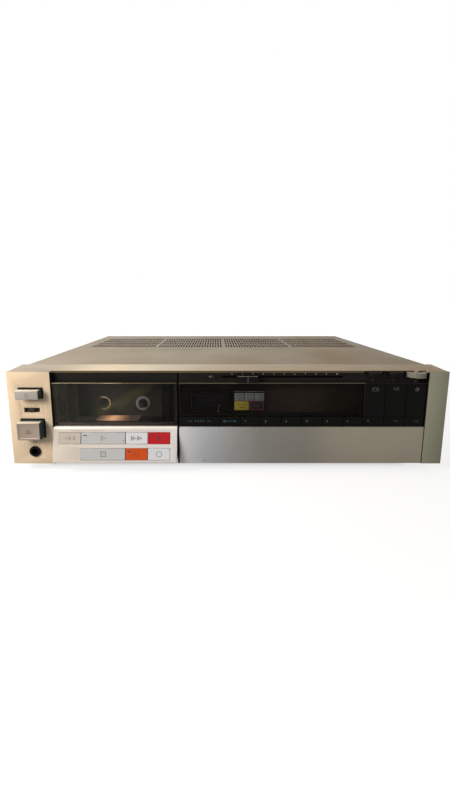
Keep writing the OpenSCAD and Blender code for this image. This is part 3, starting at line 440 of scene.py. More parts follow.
def paneFinish(name, look):
    # Smoked acrylic: dark, polished and see-through, with a film of dust, and a painted reflection band where one is
    # given
    bench = newFinish(name)
    film = bench.spread(bench.noise(45, 5, 0.65, bench.stretched((1, 1, 2.5))), 0.45, 0.75)
    color = bench.blend(bench.times(film, 0.5), look["color"], look["film"])
    if "paintedReflection" in look:   # a painted reflection: a soft band that climbs across the pane
        across, height, start, end = look["paintedReflection"]
        slope = bench.add("VectorMath", {0: bench.coords, 1: (-across[0], 0, across[1])}, operation="DOT_PRODUCT")
        offset = bench.math("SUBTRACT", slope.outputs["Value"], height)
        wobble = bench.spread(bench.noise(60), 0.3, 0.7, -0.002, 0.002)
        band = bench.spread(bench.math("ABSOLUTE", bench.math("ADD", offset, wobble)), 0.002, 0.007, 1, 0)
        ends = bench.times(bench.spread(bench.along(), *start, 0, 1), bench.spread(bench.along(), *end, 1, 0))
        color = bench.blend(bench.times(bench.times(band, ends), 0.8), color, look["paintedReflectionTone"])
    return bench.finished(bench.aged(color, look), bench.spread(film, 0, 1, 0.07, 0.14), **{
        "Alpha": look["alpha"], "Specular IOR Level": look["specular"]})


def boardFinish(name, look):
    # Circuit board: solder mask over tracks that run both ways, with tinned pads
    bench = newFinish(name)
    ways = [bench.waves(axis, scale, distortion, **{"Detail": 1, "Detail Scale": fine})
            for axis, scale, distortion, fine in (("X", 120, 9, 0.15), ("Y", 90, 8, 0.12))]
    tracks = bench.add("Mix", {0: bench.spread(bench.noise(30, 1), 0.48, 0.52), 2: ways[0], 3: ways[1]}).outputs[0]
    tracks = bench.spread(tracks, 0.62, 0.7)
    cells = bench.add("TexVoronoi", {"Vector": bench.coords, "Scale": 260}).outputs["Distance"]
    pads = bench.spread(cells, 0.2, 0.16)
    color = bench.blend(pads, bench.blend(tracks, look["mask"], look["track"]), look["pad"])
    return bench.finished(color, bench.spread(pads, 0, 1, 0.42, 0.25), (tracks, 0.06, 0.6))


def stackFinish(name, look):
    # Pressed laminations: fine dark seams between varnished sheets, with spots of rust
    bench = newFinish(name)
    seams = bench.spread(bench.waves(look["axis"], look["scale"], 0.3), 0.1, 0.5)
    color = bench.blend(seams, look["seam"], look["color"])
    rust = bench.spread(bench.noise(90, 5, 0.7), 0.58, 0.72)
    color = bench.blend(bench.times(rust, 0.6), color, look["rust"])
    glow = {}
    if "glow" in look:   # a painted highlight: a warm patch that glows in the middle and fades towards the ends
        off = bench.math("ABSOLUTE", bench.math("SUBTRACT", bench.along(), look["middle"]))
        lit = bench.spread(off, 0, look["reach"], 1, 0)
        lit = bench.times(bench.times(lit, lit), bench.spread(seams, 0, 1, 0.5, 1))
        glow = {"Emission Strength": bench.times(lit, look["glow"]),
                "Emission Color": bench.blend(0.85, color, look["warm"])}
    return bench.finished(color, bench.spread(rust, 0, 1, 0.38, 0.7), (seams, 0.12, 0.7),
                          Metallic=look["metallic"], **glow)


def platedFinish(name, look):
    # Zinc plate: faint crystal patches of uneven tone and shine under a thin grey film
    bench = newFinish(name)
    warp = bench.add("TexNoise", {"Vector": bench.coords, "Scale": 60, "Detail": 2}).outputs["Color"]
    bent = bench.add("VectorMath", {0: warp, 1: (0.01, 0.01, 0.01)}, operation="MULTIPLY").outputs[0]
    bent = bench.add("VectorMath", {0: bench.coords, 1: bent}, operation="ADD").outputs[0]
    cells = bench.add("TexVoronoi", {"Vector": bent, "Scale": look["scale"]}).outputs["Color"]
    patch = bench.add("SeparateColor", {0: cells}).outputs[0]
    film = bench.spread(bench.noise(35, 5, 0.65), 0.4, 0.7)
    color = bench.blend(bench.times(film, 0.35), bench.blend(patch, look["color"], look["patch"]), look["film"])
    return bench.finished(color, bench.spread(patch, 0, 1, *look["roughness"]), (bench.noise(900, 3, 0.6), 0.02, 0.4),
                          Metallic=look["metallic"])


def inkFinish(name, color, roughness=0.5, specular=0.4):
    # Screened ink: slightly uneven cover over the grain below
    bench = newFinish(name)
    color = tone(*color)
    cover = bench.spread(bench.noise(1800, 3, 0.7), 0.3, 0.75)
    pale = (*[min(1, c * 1.25 + 0.01) for c in color[:3]], 1)
    return bench.finished(bench.blend(bench.times(cover, 0.5), color, pale),
                          bench.spread(cover, 0, 1, roughness, roughness + 0.12), **{"Specular IOR Level": specular})


# Cream end panels; the right one is painted darker and cooler, as painted shade
creamPaint = satinFinish("cream_paint", {
    "tones": ((214, 196, 172), (207, 187, 160), (190, 170, 144), (170, 148, 120)), "speckle": 0.22, "marked": 0.18,
    "worn": ((225, 214, 190), 0.35), "roughness": (0.44, 0.52), "specular": 0.25, "aged": [(-0.05, (1, 1, 1)),
    (0.18, (0.55, 0.68, 0.71))]})
# Lighter paint on the bezel's upward faces is a painted highlight: brightest near x -0.116, with painted shade towards
# both ends
crownHighlightPaint = satinFinish("crown_painted_highlight", {
    "tones": ((248, 226, 200), (240, 216, 188), (222, 200, 172), (205, 184, 156)), "speckle": 0.2, "marked": 0.16,
    "worn": ((252, 238, 215), 0.25), "roughness": (0.4, 0.48), "specular": 0.25,
    "aged": [(-0.205, (0.5, 0.52, 0.56)), (-0.165, (0.5, 0.54, 0.56)), (-0.134, (0.8, 0.87, 0.93)),
    (-0.112, (0.94, 1, 1)), (-0.085, (0.84, 0.94, 1)), (-0.03, (0.63, 0.66, 0.665)), (0.022, (0.575, 0.6, 0.6)),
    (0.075, (0.49, 0.47, 0.39)), (0.12, (0.445, 0.415, 0.345)), (0.17, (0.325, 0.272, 0.155)),
    (0.205, (0.295, 0.23, 0.115))], "paintedLightWander": 0.012})
lipPaint = satinFinish("lip_shade_paint", {
    "tones": ((112, 98, 76), (104, 90, 69), (92, 80, 62), (80, 70, 54)), "roughness": (0.5, 0.6), "specular": 0.15})
# The cover paint turns darker and browner towards the right, as painted shade
champagnePaint = satinFinish("champagne_cover_paint", {
    "tones": ((174, 160, 138), (166, 152, 129), (145, 131, 109), (145, 129, 105)), "speckle": 0.3, "marked": 0.3,
    "markScale": 26, "worn": ((192, 182, 162), 0.3), "roughness": (0.46, 0.56), "specular": 0.25, "metallic": 0.1,
    "grainScale": 1900, "grain": 0.03, "aged": [(-0.14, (0.97, 0.96, 0.96)), (-0.088, (0.89, 0.89, 0.86)),
    (-0.03, (0.81, 0.775, 0.735)), (0.022, (0.72, 0.665, 0.585)), (0.077, (0.61, 0.54, 0.43)),
    (0.133, (0.545, 0.43, 0.24)), (0.18, (0.46, 0.355, 0.18)), (0.209, (0.53, 0.46, 0.35))]})
# The panel's left end is painted darker and warmer, as painted shade with a warm cast
panelSilver = satinFinish("panel_satin_silver", {
    "tones": ((222, 220, 223), (217, 214, 216), (200, 196, 194), (184, 172, 162)), "marked": 0.16,
    "worn": ((232, 228, 222), 0.3), "roughness": (0.38, 0.46), "specular": 0.3, "grain": 0.015,
    "aged": [(-0.15, (0.86, 0.81, 0.72)), (-0.06, (1, 1, 1))], "paintedLightWander": 0.01})
# The panel's upward top chamfer wears a near-white painted highlight
panelEdgeHighlight = satinFinish("panel_edge_painted_highlight", {
    "tones": ((248, 244, 238), (240, 235, 228), (225, 218, 208), (205, 195, 182)), "speckle": 0.2, "marked": 0.16,
    "roughness": (0.3, 0.38), "grain": 0.012})
blackResin = satinFinish("black_moulding", {
    "tones": ((25, 24, 22), (22, 21, 19), (32, 30, 27), (54, 50, 44)), "speckle": 0.3, "marked": 0.12,
    "worn": ((74, 70, 60), 0.25), "roughness": (0.4, 0.5), "specular": 0.08, "grain": 0.04})
blackKey = satinFinish("black_key_resin", {
    "tones": ((10, 10, 9), (9, 9, 8), (16, 15, 14), (56, 53, 47)), "marked": 0.1, "worn": ((74, 70, 62), 0.4),
    "roughness": (0.34, 0.42), "specular": 0.06})
deckLook = {
    "tones": ((88, 83, 75), (76, 72, 65), (98, 93, 84), (112, 106, 88)), "speckle": 0.3, "roughness": (0.42, 0.5),
    "specular": 0.1}
deckResin = satinFinish("deck_moulding", deckLook)
# The holder and the side resin below are painted light at the left end and shade towards the right
holderResin = satinFinish("holder_moulding_resin", dict(
    deckLook, aged=[(-0.12, (1, 1, 1)), (-0.085, (0.14, 0.16, 0.2)), (-0.06, (0.06, 0.07, 0.1))],
    paintedLightWander=0.012))
sideLook = {
    "tones": ((108, 98, 90), (98, 88, 81), (118, 108, 100), (126, 116, 106)), "speckle": 0.3,
    "roughness": (0.42, 0.5), "specular": 0.1, "aged": [(-0.155, (1, 1, 1)), (-0.1, (0.85, 0.86, 0.8)),
    (-0.055, (0.25, 0.28, 0.34))]}
holderSide = satinFinish("holder_side_resin", sideLook)
# A lighter copy of the side resin for the holder's left wall, as painted light
holderWallLit = satinFinish("holder_wall_painted_light", dict(
    sideLook, tones=((148, 130, 117), (138, 121, 108), (156, 138, 126), (126, 116, 106))))
shadeBlack = satinFinish("shade_black", {
    "tones": ((11, 11, 11), (9, 9, 9), (15, 15, 14), (24, 23, 21)), "marked": 0.1, "roughness": (0.55, 0.65),
    "specular": 0.04, "grain": 0.008})
# Display mask: black with painted light, a brown glow in the middle, darkest at the left end
maskPaintedLight = satinFinish("mask_painted_light", {
    "tones": ((74, 63, 55), (68, 57, 50), (80, 69, 61), (90, 74, 62)), "roughness": (0.55, 0.65), "specular": 0.04,
    "grain": 0.008, "aged": [(0.0, (0.03, 0.04, 0.05)), (0.03, (0.06, 0.08, 0.1)), (0.05, (0.6, 0.6, 0.6)),
    (0.075, (1, 1, 1)), (0.095, (0.9, 0.9, 0.85)), (0.11, (0.55, 0.6, 0.48)), (0.134, (0.42, 0.5, 0.4))],
    "paintedLightWander": 0.01})
# The door pane is lighter in a band near its left edge and darker towards the right, as painted light
doorPane = paneFinish("smoked_acrylic_door", {
    "color": (0.065, 0.062, 0.057, 1), "film": (0.09, 0.087, 0.078, 1), "alpha": 0.3, "specular": 0.03,
    "paintedReflection": ((0.423, 0.906), 0.1117, (-0.136, -0.122), (-0.085, -0.062)), "paintedReflectionTone": (110, 108, 82),
    "paintedLightWander": 0.003, "aged": [(-0.172, (0.36, 0.36, 0.36)), (-0.168, (0.8, 0.8, 0.8)),
    (-0.157, (0.8, 0.8, 0.8)), (-0.151, (0.48, 0.53, 0.53)), (-0.137, (0.48, 0.54, 0.54)),
    (-0.115, (0.68, 0.7, 0.74)), (-0.098, (0.6, 0.62, 0.64)), (-0.08, (0.36, 0.36, 0.36)),
    (-0.07, (0.22, 0.23, 0.26)), (-0.05, (0.22, 0.23, 0.26))]})
displayPane = paneFinish("smoked_acrylic_display", {
    "color": (0.012, 0.0115, 0.0115, 1), "film": (0.035, 0.029, 0.026, 1), "alpha": 0.28, "specular": 0.0})
greyInk = inkFinish("grey_ink", (100, 97, 93))
paleInk = inkFinish("pale_grey_ink", (166, 165, 160))
darkInk = inkFinish("dark_ink", (58, 56, 54))
markInk = inkFinish("dim_white_ink", (150, 148, 140), 0.5, 0.2)
dimInk = inkFinish("dim_grey_ink", (108, 106, 98), 0.5, 0.2)
scaleInk = inkFinish("scale_ink", (214, 212, 204), 0.5, 0.2)
lampLens = inkFinish("unlit_lamp", (44, 40, 40), 0.2, 0.5)
print("first finishes ready")

# Cover: a folded sheet with four groups of vent slots
cover = {"halfWidth": 209.998, "front": 33, "back": 336.2, "top": 105.8, "foot": 10, "sheet": 1.2, "fold": 2.2,
         "flangeFoot": 91.8, "slotSize": (2, 22), "slotPitch": 3.84, "groupPitch": 96, "rowPitch": 28.75,
         "firstRow": 187, "slotEnd": 0.95, "slotWalls": (160, 300)}


def makeCover(look):
    side, top, foot, flange = look["halfWidth"], look["top"], look["foot"], look["flangeFoot"] * mm
    frontY, rearY = depthY(look["front"]), depthY(look["back"])
    shell = addBlock("cover_shell", (-side, side), (look["front"], look["back"]), (foot, top))
    cutAcross(shell, (0, 0, flange), (0, 0, 1))
    pick(shell, "FACE", lambda c, n: near(c.y, frontY) or near(c.z, foot * mm) or (near(c.y, rearY) and c.z < flange))
    bpy.ops.mesh.delete(type="FACE")
    endEdit()
    bevelEdges(shell, look["fold"], 5, lambda a, b: near(a.z, top * mm) and near(b.z, top * mm)
               and (near(a.x, b.x) or (near(a.y, rearY) and near(b.y, rearY))))
    applyModifier(shell, "SOLIDIFY", thickness=look["sheet"] * mm, offset=-1, use_even_offset=True)
    width, length = look["slotSize"]
    x0 = -1.5 * look["groupPitch"] - 11.5 * look["slotPitch"]
    slots = addBlock("vent_cutter", (x0 - width / 2, x0 + width / 2),
                     (look["firstRow"] - length / 2, look["firstRow"] + length / 2), (top - 3, top + 2))
    bevelEdges(slots, look["slotEnd"], 3, lambda a, b: near(a.x, b.x) and near(a.y, b.y))
    for count, step in ((24, (look["slotPitch"], 0, 0)), (4, (look["groupPitch"], 0, 0)),
                        (4, (0, look["rowPitch"], 0))):
        applyModifier(slots, "ARRAY", count=count, use_relative_offset=False, use_constant_offset=True,
                      constant_offset_displace=Vector(step) * mm)
    carve(shell, slots)
    smoothShade(shell)
    wallStart, wallEnd = [depthY(depth) for depth in look["slotWalls"]]
    # The vent slots' walls and the sheet's underside are painted black as shade
    finishPiece(shell, "root", (champagnePaint, blackResin), "top_cover", [
        (1, lambda c, n: n.z < 0.5 and c.z > (top - 1.25) * mm and abs(c.x) < (side - 3) * mm
         and wallStart < c.y < wallEnd),
        (1, lambda c, n: n.z < -0.5 and near(c.z, (top - look["sheet"]) * mm))])
    print("cover:", len(shell.data.polygons), "faces")


makeCover(cover)

# Front bezel: its walls towards the door's bay and the keys are black; the lip's upward faces wear a painted highlight
# and the lip's front face painted shade
bezel = {"rounding": 0.4, "innerWalls": (-173.198, 195.798), "lipFoot": 102, "lipDepth": 6.5}
dress("front_bezel", "bezel_moulding", "root", bezel["rounding"],
      (creamPaint, blackResin, crownHighlightPaint, lipPaint), [
          (1, lambda c, n: abs(n.x) > 0.8 and c.z < bezel["lipFoot"] * mm
           and any(near(c.x, wall * mm, 0.1) for wall in bezel["innerWalls"])),
          (2, lambda c, n: n.z > 0.4 and c.z > (bezel["lipFoot"] + 1) * mm),
          (3, lambda c, n: n.y < -0.7 and c.z > bezel["lipFoot"] * mm and near(c.y, depthY(bezel["lipDepth"]), 0.1))])

# Fascia, door frame and deck keep their drawn shape, with rounded edges
# Behind the door pane, the left wall and the lower front faces wear painted light: a lit copy and a finish that
# darkens towards the right
behindPane = [(2, lambda c, n: c.x < -160 * mm and n.x > 0.8),
              (1, lambda c, n: n.y < -0.8 and near(c.y, depthY(4.5), 0.1) and c.z < 91.5 * mm)]
for node, name, body, slot, rounding, finish, rules in (
        ("fascia", "fascia_moulding", "root", "black_resin", 0.15, blackResin, ()),
        ("door_frame", "door_frame_moulding", "door", "black_resin", 0.15, blackResin, behindPane),
        ("cassette_holder", "holder_moulding", "door", "deck_resin", 0.2, holderResin, behindPane),
        ("deck_plate", "deck_chassis", "root", "deck_resin", 0.2, deckResin, ())):
    dress(node, name, body, rounding, (finish, holderSide, holderWallLit), rules)
print("mouldings ready")

# Cassette door: leaning silver panel with rounded lower corners
doorSide = (-172.898, -49.998)
panelLook = {"cornerRadius": 2.3, "foot": 13.7, "rounding": 0.25, "shade": (-6.4, -4), "brightZ": 46.8}


def makeControlPanel(look):
    panel = refinedCopy("control_panel", "panel_face")
    radius, foot, shades = look["cornerRadius"], look["foot"], []
    for side, inward in zip(doorSide, (1, -1)):
        corner = addBlock("corner_cutter", sorted((side - inward, side + inward * radius)), (-9, 0.5),
                          (foot - 1, foot + radius))
        carve(corner, addRod("corner_core", side + inward * radius, foot + radius, (-10, 1.5), radius, 64))
        carve(panel, corner)
        shades.append(addBlock("corner_shade", sorted((side + inward * 0.05, side + inward * (radius + 0.4))),
                               look["shade"], (foot + 0.05, foot + radius + 0.4)))
        roundEdges(shades[-1], 0.1)
    roundEdges(panel, look["rounding"], 3)
    finishPiece(panel, "door", (panelSilver, panelEdgeHighlight, shadeBlack), "control_panel", [
        (1, lambda c, n: n.z > 0.4 and c.z > look["brightZ"] * mm),
        (2, lambda c, n: n.x > 0.9 and near(c.x, doorSide[1] * mm, 0.1))])
    finishPiece(joinPieces(shades[0], shades[1:]), "door", (blackResin,))


makeControlPanel(panelLook)

# Transport keys: row, first and last column, colour, material slot
keySetting = {"x": -166.998, "pitch": 22.1, "gap": 0.5, "height": 11.3, "rowTop": (-3.9, -19.6), "proud": 0.5,
              "back": 4.5, "postEnd": 9, "postRadius": 1.4, "rounding": 0.4, "rim": (0.9, -0.12)}
transportKeys = {
    "rewind_key": (0, 0, 1, (186, 178, 170), "key_beige"),
    "play_key": (0, 1, 3, (184, 187, 192), "key_grey"),
    "fast_forward_key": (0, 3, 4, (216, 221, 230), "key_pale"),
    "record_key": (0, 4, 5, (184, 16, 26), "key_red"),
    "stop_key": (1, 1, 3, (184, 187, 191), "key_grey"),
    "pause_key": (1, 3, 4, (198, 74, 4), "key_orange"),
    "mute_key": (1, 4, 5, (216, 220, 228), "key_pale")}


def keyFinish(name, color):
    drift, speck, mark = [tuple(part * share for part, share in zip(color, shares)) for shares in (
        (0.97, 0.96, 0.94), (0.88, 0.88, 0.88), (0.82, 0.8, 0.76))]
    return satinFinish(name, {
        "tones": (color, drift, speck, mark), "speckle": 0.2, "marked": 0.18, "roughness": (0.34, 0.42),
        "worn": (tuple(min(255, part * 1.08 + 8) for part in color), 0.3), "specular": 0.3, "grain": 0.012})


def addPosts(cap, xs, zs, look):
    depths = (look["back"] - 0.2, look["postEnd"])
    joinPieces(cap, [addRod("post", x, z, depths, look["postRadius"]) for x in xs for z in zs])


def makeTransportKeys(look):
    front = -look["proud"]
    for node, (row, first, last, color, slot) in transportKeys.items():
        left = look["x"] + first * look["pitch"]
        right = look["x"] + last * look["pitch"] - look["gap"]
        top = look["rowTop"][row]
        cap = addBlock(node.replace("_key", "_cap"), (left, right), (front, look["back"]), (top - look["height"], top))
        insetFaces(cap, lambda c, n: near(c.y, depthY(front)), look["rim"])
        roundEdges(cap, look["rounding"], 3, 40)
        spots = (left + 6, right - 6) if last - first > 1 else ((left + right) / 2,)
        addPosts(cap, spots, (top - look["height"] / 2,), look)
        cap.data.transform(panelFrame @ Matrix.Translation((0, -faceY, 0)))
        finishPiece(cap, node, (keyFinish(slot + "_" + node, color),), node)


def keyMark(name, node, ink, loops, lift=0.03):
    look, (row, first, last) = keySetting, transportKeys[node][:3]
    u = look["x"] + (first + last) / 2 * look["pitch"] - look["gap"] / 2
    v = look["rowTop"][row] - look["height"] / 2
    printMarks(name, ink, node, [(addOutline(name, loops), onPanel(u, 0.1 - look["proud"] - lift, v))])


makeTransportKeys(keySetting)
redInk = inkFinish("deep_red_ink", (124, 16, 34))
orangeInk = inkFinish("brown_orange_ink", (142, 54, 22))
keyMark("play_fill", "play_key", paleInk, [wedge(0.3, 0, 5.4, 5.2)], 0)
keyMark("forward_fill", "fast_forward_key", paleInk, [wedge(-2.9, 0, 5.4, 4.8), wedge(3.1, 0, 5.4, 4.8)], 0)
keyMark("stop_fill", "stop_key", paleInk, [slab(-2.7, 2.7, -2.6, 2.6)], 0)
keyMark("rewind_mark", "rewind_key", greyInk,
        [*wedgeLoops(-2.6, 0, -4.8, 4.2, 0.42), *wedgeLoops(2.6, 0, -4.8, 4.2, 0.42)])
keyMark("play_mark", "play_key", greyInk, wedgeLoops(0.3, 0, 5.4, 5.2, 0.4))
keyMark("forward_mark", "fast_forward_key", greyInk,
        [*wedgeLoops(-2.9, 0, 5.4, 4.8, 0.4), *wedgeLoops(3.1, 0, 5.4, 4.8, 0.4)])
keyMark("record_mark", "record_key", redInk, [disc(0, 0, 2.3, 40)])
keyMark("stop_mark", "stop_key", greyInk, frameLoops(-2.7, 2.7, -2.6, 2.6, 0.5))
keyMark("pause_mark", "pause_key", orangeInk,
        [*frameLoops(-2.6, -0.7, -2.2, 2.2, 0.4), *frameLoops(0.9, 2.8, -2.2, 2.2, 0.4)])
keyMark("mute_mark", "mute_key", darkInk, ring(0, 0, 2.8, 2.35, 40))
# Black strips on the panel between the keys, as painted shade in the gaps
printMarks("key_gaps", blackResin, "door", [
    (addOutline("gap", [slab(u - 0.34, u + 0.34, top - keySetting["height"] - 0.1, top + 0.1)]), onPanel(0, 0, 0))
    for u, top in ((-145.2, -3.9), (-101, -3.9), (-101, -19.6), (-56.8, -19.6))])
keyMark("play_lamp", "play_key", lampLens, [slab(-20, -16.4, 2.3, 3.1)])
keyMark("record_lamp", "record_key", lampLens, [slab(-8.9, -5.6, 1.9, 2.9)])
keyMark("pause_lamp", "pause_key", lampLens, [slab(-8.9, -5.5, 2.3, 3.3)])
keyMark("play_dot", "play_key", darkInk, [disc(20.1, -2.1, 0.55, 16)])
printMarks("panel_brackets", greyInk, "door", [
    (addOutline("bracket", [slab(*line)]), onPanel(0, 0, z)) for z, *line in (
        (-2.1, -155.1, -123.7, 0, 0.22), (-2.1, -123.9, -123.7, -1.1, 0),
        (-17.75, -91.4, -67.8, 0, 0.22), (-17.75, -68, -67.8, -0.9, 0))])
print("transport keys ready")

# Black keys on the display side: column edges in units of the column width
sideX, columnWidth = -48.198, 20.333
lowKeys = {"counter_reset_key": (0, 2), "memory_key": (2, 3),
           **{f"preset_key_{k}": (k + 2, k + 3) for k in range(1, 8)}, "am_key": (10, 11), "fm_key": (11, 12)}
sourceKeys = {"tape_key": (9, 10), "tuner_key": (10, 11), "phono_key": (11, 12)}
blackKeyLook = {"gap": 0.3, "front": 1.5, "back": 8, "postEnd": 17, "postRadius": 1.4, "rounding": 0.35}


def column(count):
    return sideX + count * columnWidth


def makeBlackKeys(keys, zs, postZs, look):
    for node, (first, last) in keys.items():
        left, right = column(first) + look["gap"], column(last) - look["gap"]
        cap = addBlock(node.replace("_key", "_cap"), (left, right), (look["front"], look["back"]), zs)
        roundEdges(cap, look["rounding"], 3, 40)
        addPosts(cap, ((left + right) / 2,), postZs, look)
        finishPiece(cap, node, (blackKey,), node)


makeBlackKeys(lowKeys, (48.8, 58.4), (53.45,), blackKeyLook)
makeBlackKeys(sourceKeys, (58.7, 91.4), (66.4, 83.9), blackKeyLook)

# Panes: smoked acrylic with polished edges
makeBlock("door_pane", doorSide, (1.5, 4.5), (48.5, 91.7), 0.25, "door", doorPane, (), 40,
          "door_window")
makeBlock("display_pane", (-47.898, 134.499), (1.5, 4.5), (58.7, 91.7), 0.25, "root", displayPane, (), 40,
          "display_window")
print("keys and panes ready")

# End panel controls: cast buttons with a rim, and their generic symbols
controlsX = -192.598
silverLook = {
    "tones": ((160, 157, 152), (154, 149, 142), (138, 132, 124), (128, 118, 104)), "worn": ((222, 216, 204), 0.7),
    "roughness": (0.36, 0.46), "specular": 0.3, "metallic": 0.2}
powerSilver = satinFinish("power_button_silver", silverLook)
ejectSilver = satinFinish("eject_button_silver", dict(
    silverLook, tones=((149, 136, 125), (144, 130, 117), (138, 132, 124), (128, 118, 104)),
    worn=((214, 204, 190), 0.7)))
# The buttons' right sides, undersides, rims and the back of their tops are painted shade; the front strip of their
# tops is a painted highlight
buttonShade = satinFinish("button_painted_shade", {
    "tones": ((56, 68, 72), (49, 60, 64), (70, 80, 82), (96, 96, 90)), "worn": ((130, 134, 132), 0.4),
    "roughness": (0.4, 0.5), "specular": 0.2, "metallic": 0.2})
buttonHighlight = satinFinish("button_painted_highlight", {
    "tones": ((236, 228, 208), (228, 219, 198), (206, 196, 176), (190, 178, 156)), "speckle": 0.2,
    "worn": ((246, 240, 226), 0.4), "roughness": (0.34, 0.42), "specular": 0.4, "metallic": 0.1})
powerButton = {"z": 83.1, "height": 8.9, "reach": 9, "width": 22, "rounding": 0.5, "inset": 0, "brightTop": 4.6,
               "face": powerSilver}
ejectButton = {"z": 47.4, "height": 17.4, "reach": 11, "width": 22, "rounding": 0.5, "inset": 1.8, "brightTop": 5,
               "face": ejectSilver}


def makeButton(node, name, look):
    x, z, half, wide = controlsX, look["z"], look["height"] / 2, look["width"] / 2
    cap = addBlock(name, (x - wide, x + wide), (-look["reach"], 2.9), (z - half, z + half))
    topEnd = place(0, look["brightTop"] - look["reach"], 0)
    cutAcross(cap, topEnd, (0, 1, 0))
    if look["inset"]:
        insetFaces(cap, lambda c, n: near(c.y, depthY(-look["reach"])), (look["inset"], 0), (0.25, -0.5))
    roundEdges(cap, look["rounding"], 3, 25)
    rim = addBlock("button_rim", (x - wide - 2, x + wide + 2), (2.8, 4.5), (z - half - 2, z + half + 2))
    roundEdges(rim, 0.2)
    joinPieces(cap, [rim, addRod("button_stem", x, z, (4.4, 16), 3)])
    finishPiece(cap, node, (look["face"], buttonShade, buttonHighlight), node, [
        (1, lambda c, n: n.x > 0.8 or n.z < -0.8 or c.y > topEnd.y),
        (2, lambda c, n: n.z > 0.6 and c.y < topEnd.y and c.z > (z + half - 1) * mm)])


makeButton("power_button", "power_cap", powerButton)
makeButton("eject_button", "eject_cap", ejectButton)
frameInk = inkFinish("tan_line_ink", (158, 118, 88))
frontMarks("power_mark", darkInk, "power_button", (
    (controlsX, -9, 83.1), [arcBand(0, 0, 1.9, 0.36, 125, 415)], [slab(-0.18, 0.18, 0.3, 2.2)]))
frontMarks("eject_mark", darkInk, "eject_button", (
    (controlsX, -10.52, 47.2), [[(-2.4, 0), (2.4, 0), (0, 2.6)], [(-1.6, 0.32), (1.6, 0.32), (0, 2.05)]],
    [slab(-2.6, 2.6, -1.7, -0.9)]))
frontMarks("timer_marks", frameInk, "root", (
    (controlsX, 0, 69.35), frameLoops(-11.3, 11.3, -7.1, 7.2, 0.22), ring(0, 4.7, 1.3, 1.08, 28),
    [slab(-0.1, 0.1, 4.6, 5.6)], [slab(-0.1, 0.7, 4.6, 4.8)]))
frontMarks("timer_ticks", darkInk, "root", *[
    ((controlsX + shift, 0, 69.3), [slab(-0.14, 0.14, 0, 1.2)]) for shift in (-4.4, 0, 4.4)])
frontMarks("headphone_mark", darkInk, "root",
           ((controlsX, -0.03, 32.9), [arcBand(0, -0.2, 1.6, 0.42, 0, 180)]),
           ((controlsX, 0, 32.9), [slab(-1.75, -1.0, -1.7, -0.1)], [slab(1.0, 1.75, -1.7, -0.1)]))
print("end panel controls ready")

# Flap: brushed aluminium plate with its hinge ears, and a small pull mark
# The flap's tints along the front are a painted reflection: bright at the left, darkest in the middle, warmer towards
# the right
flapFinish = brushedFinish("flap_brushed_aluminium", {
    "stretch": (14, 500, 2400), "color": (200, 201, 206), "line": (188, 188, 192), "cloud": (172, 170, 170),
    "cloudAmount": 0.3, "scratch": (222, 222, 222), "roughness": (0.38, 0.48), "metallic": 0.2, "anisotropic": 0.3,
    "depth": 0.012, "paintedLightWander": 0.012, "aged": [(-0.05, (1, 1, 1)), (-0.025, (0.69, 0.72, 0.76)),
    (0.015, (0.53, 0.52, 0.49)), (0.04, (0.41, 0.4, 0.36)), (0.075, (0.42, 0.4, 0.33)), (0.1, (0.58, 0.51, 0.41)),
    (0.13, (0.64, 0.57, 0.42)), (0.19, (0.7, 0.62, 0.46))]})
flapLook = {"xs": (-47.898, 195.498), "depths": (0, 3), "zs": (10.3, 48.2), "rounding": 0.3, "earWidth": 2,
            "earX": (-45.898, 191.498), "pinDepth": 6, "pinZ": 14.2, "pinRadius": 1.5, "pinReach": 1.6,
            "knuckleRadius": 2.6}


def makeFlap(look):
    plate = addBlock("flap_plate", look["xs"], look["depths"], look["zs"])
    roundEdges(plate, look["rounding"], 3, 40)
    depth, z, parts = look["pinDepth"], look["pinZ"], []
    for x, way in zip(look["earX"], (-1, 1)):
        xs = (x, x + look["earWidth"])
        ear = addBlock("flap_ear", xs, (2.9, depth + 1), (z - 2.2, z + 2.6))
        roundEdges(ear, 0.3)
        outer = xs[way > 0]
        pin = addAxle("flap_pin", sorted((outer, outer + way * look["pinReach"])), look["pinRadius"], depth, z)
        parts += [ear, pin, addAxle("flap_knuckle", xs, look["knuckleRadius"], depth, z)]
    finishPiece(joinPieces(plate, parts), "flap", (flapFinish,), "flap")


makeFlap(flapLook)
frontMarks("flap_mark", darkInk, "flap", ((-23.6, 0, 13.2), [[(-0.9, 0.7), (0.9, 0.7), (0, -0.8)]]))
# A black strip along the flap's right edge, as painted shade in the gap beside it
frontMarks("flap_end_shadow_line", blackResin, "flap", ((0, 0, 0), [slab(194.9, 195.4, 10.7, 47.8)]))

# Wheels: every other side of the rim is a groove
wheelBlack = satinFinish("wheel_black_resin", {
    "tones": ((15, 14, 14), (12, 12, 12), (23, 22, 21), (42, 39, 36)), "marked": 0.15, "worn": ((56, 53, 48), 0.3),
    "roughness": (0.4, 0.5), "specular": 0.08})
wheelWhite = satinFinish("wheel_white_resin", {
    "tones": ((144, 138, 127), (138, 132, 121), (136, 129, 122), (128, 120, 112)), "speckle": 0.2, "marked": 0.25,
    "worn": ((176, 170, 162), 0.2), "roughness": (0.38, 0.46), "specular": 0.3})
wheelLook = {"zs": (98.3, 103.2), "bore": 2, "teeth": 24, "grooveDepth": 0.5, "rounding": 0.25}


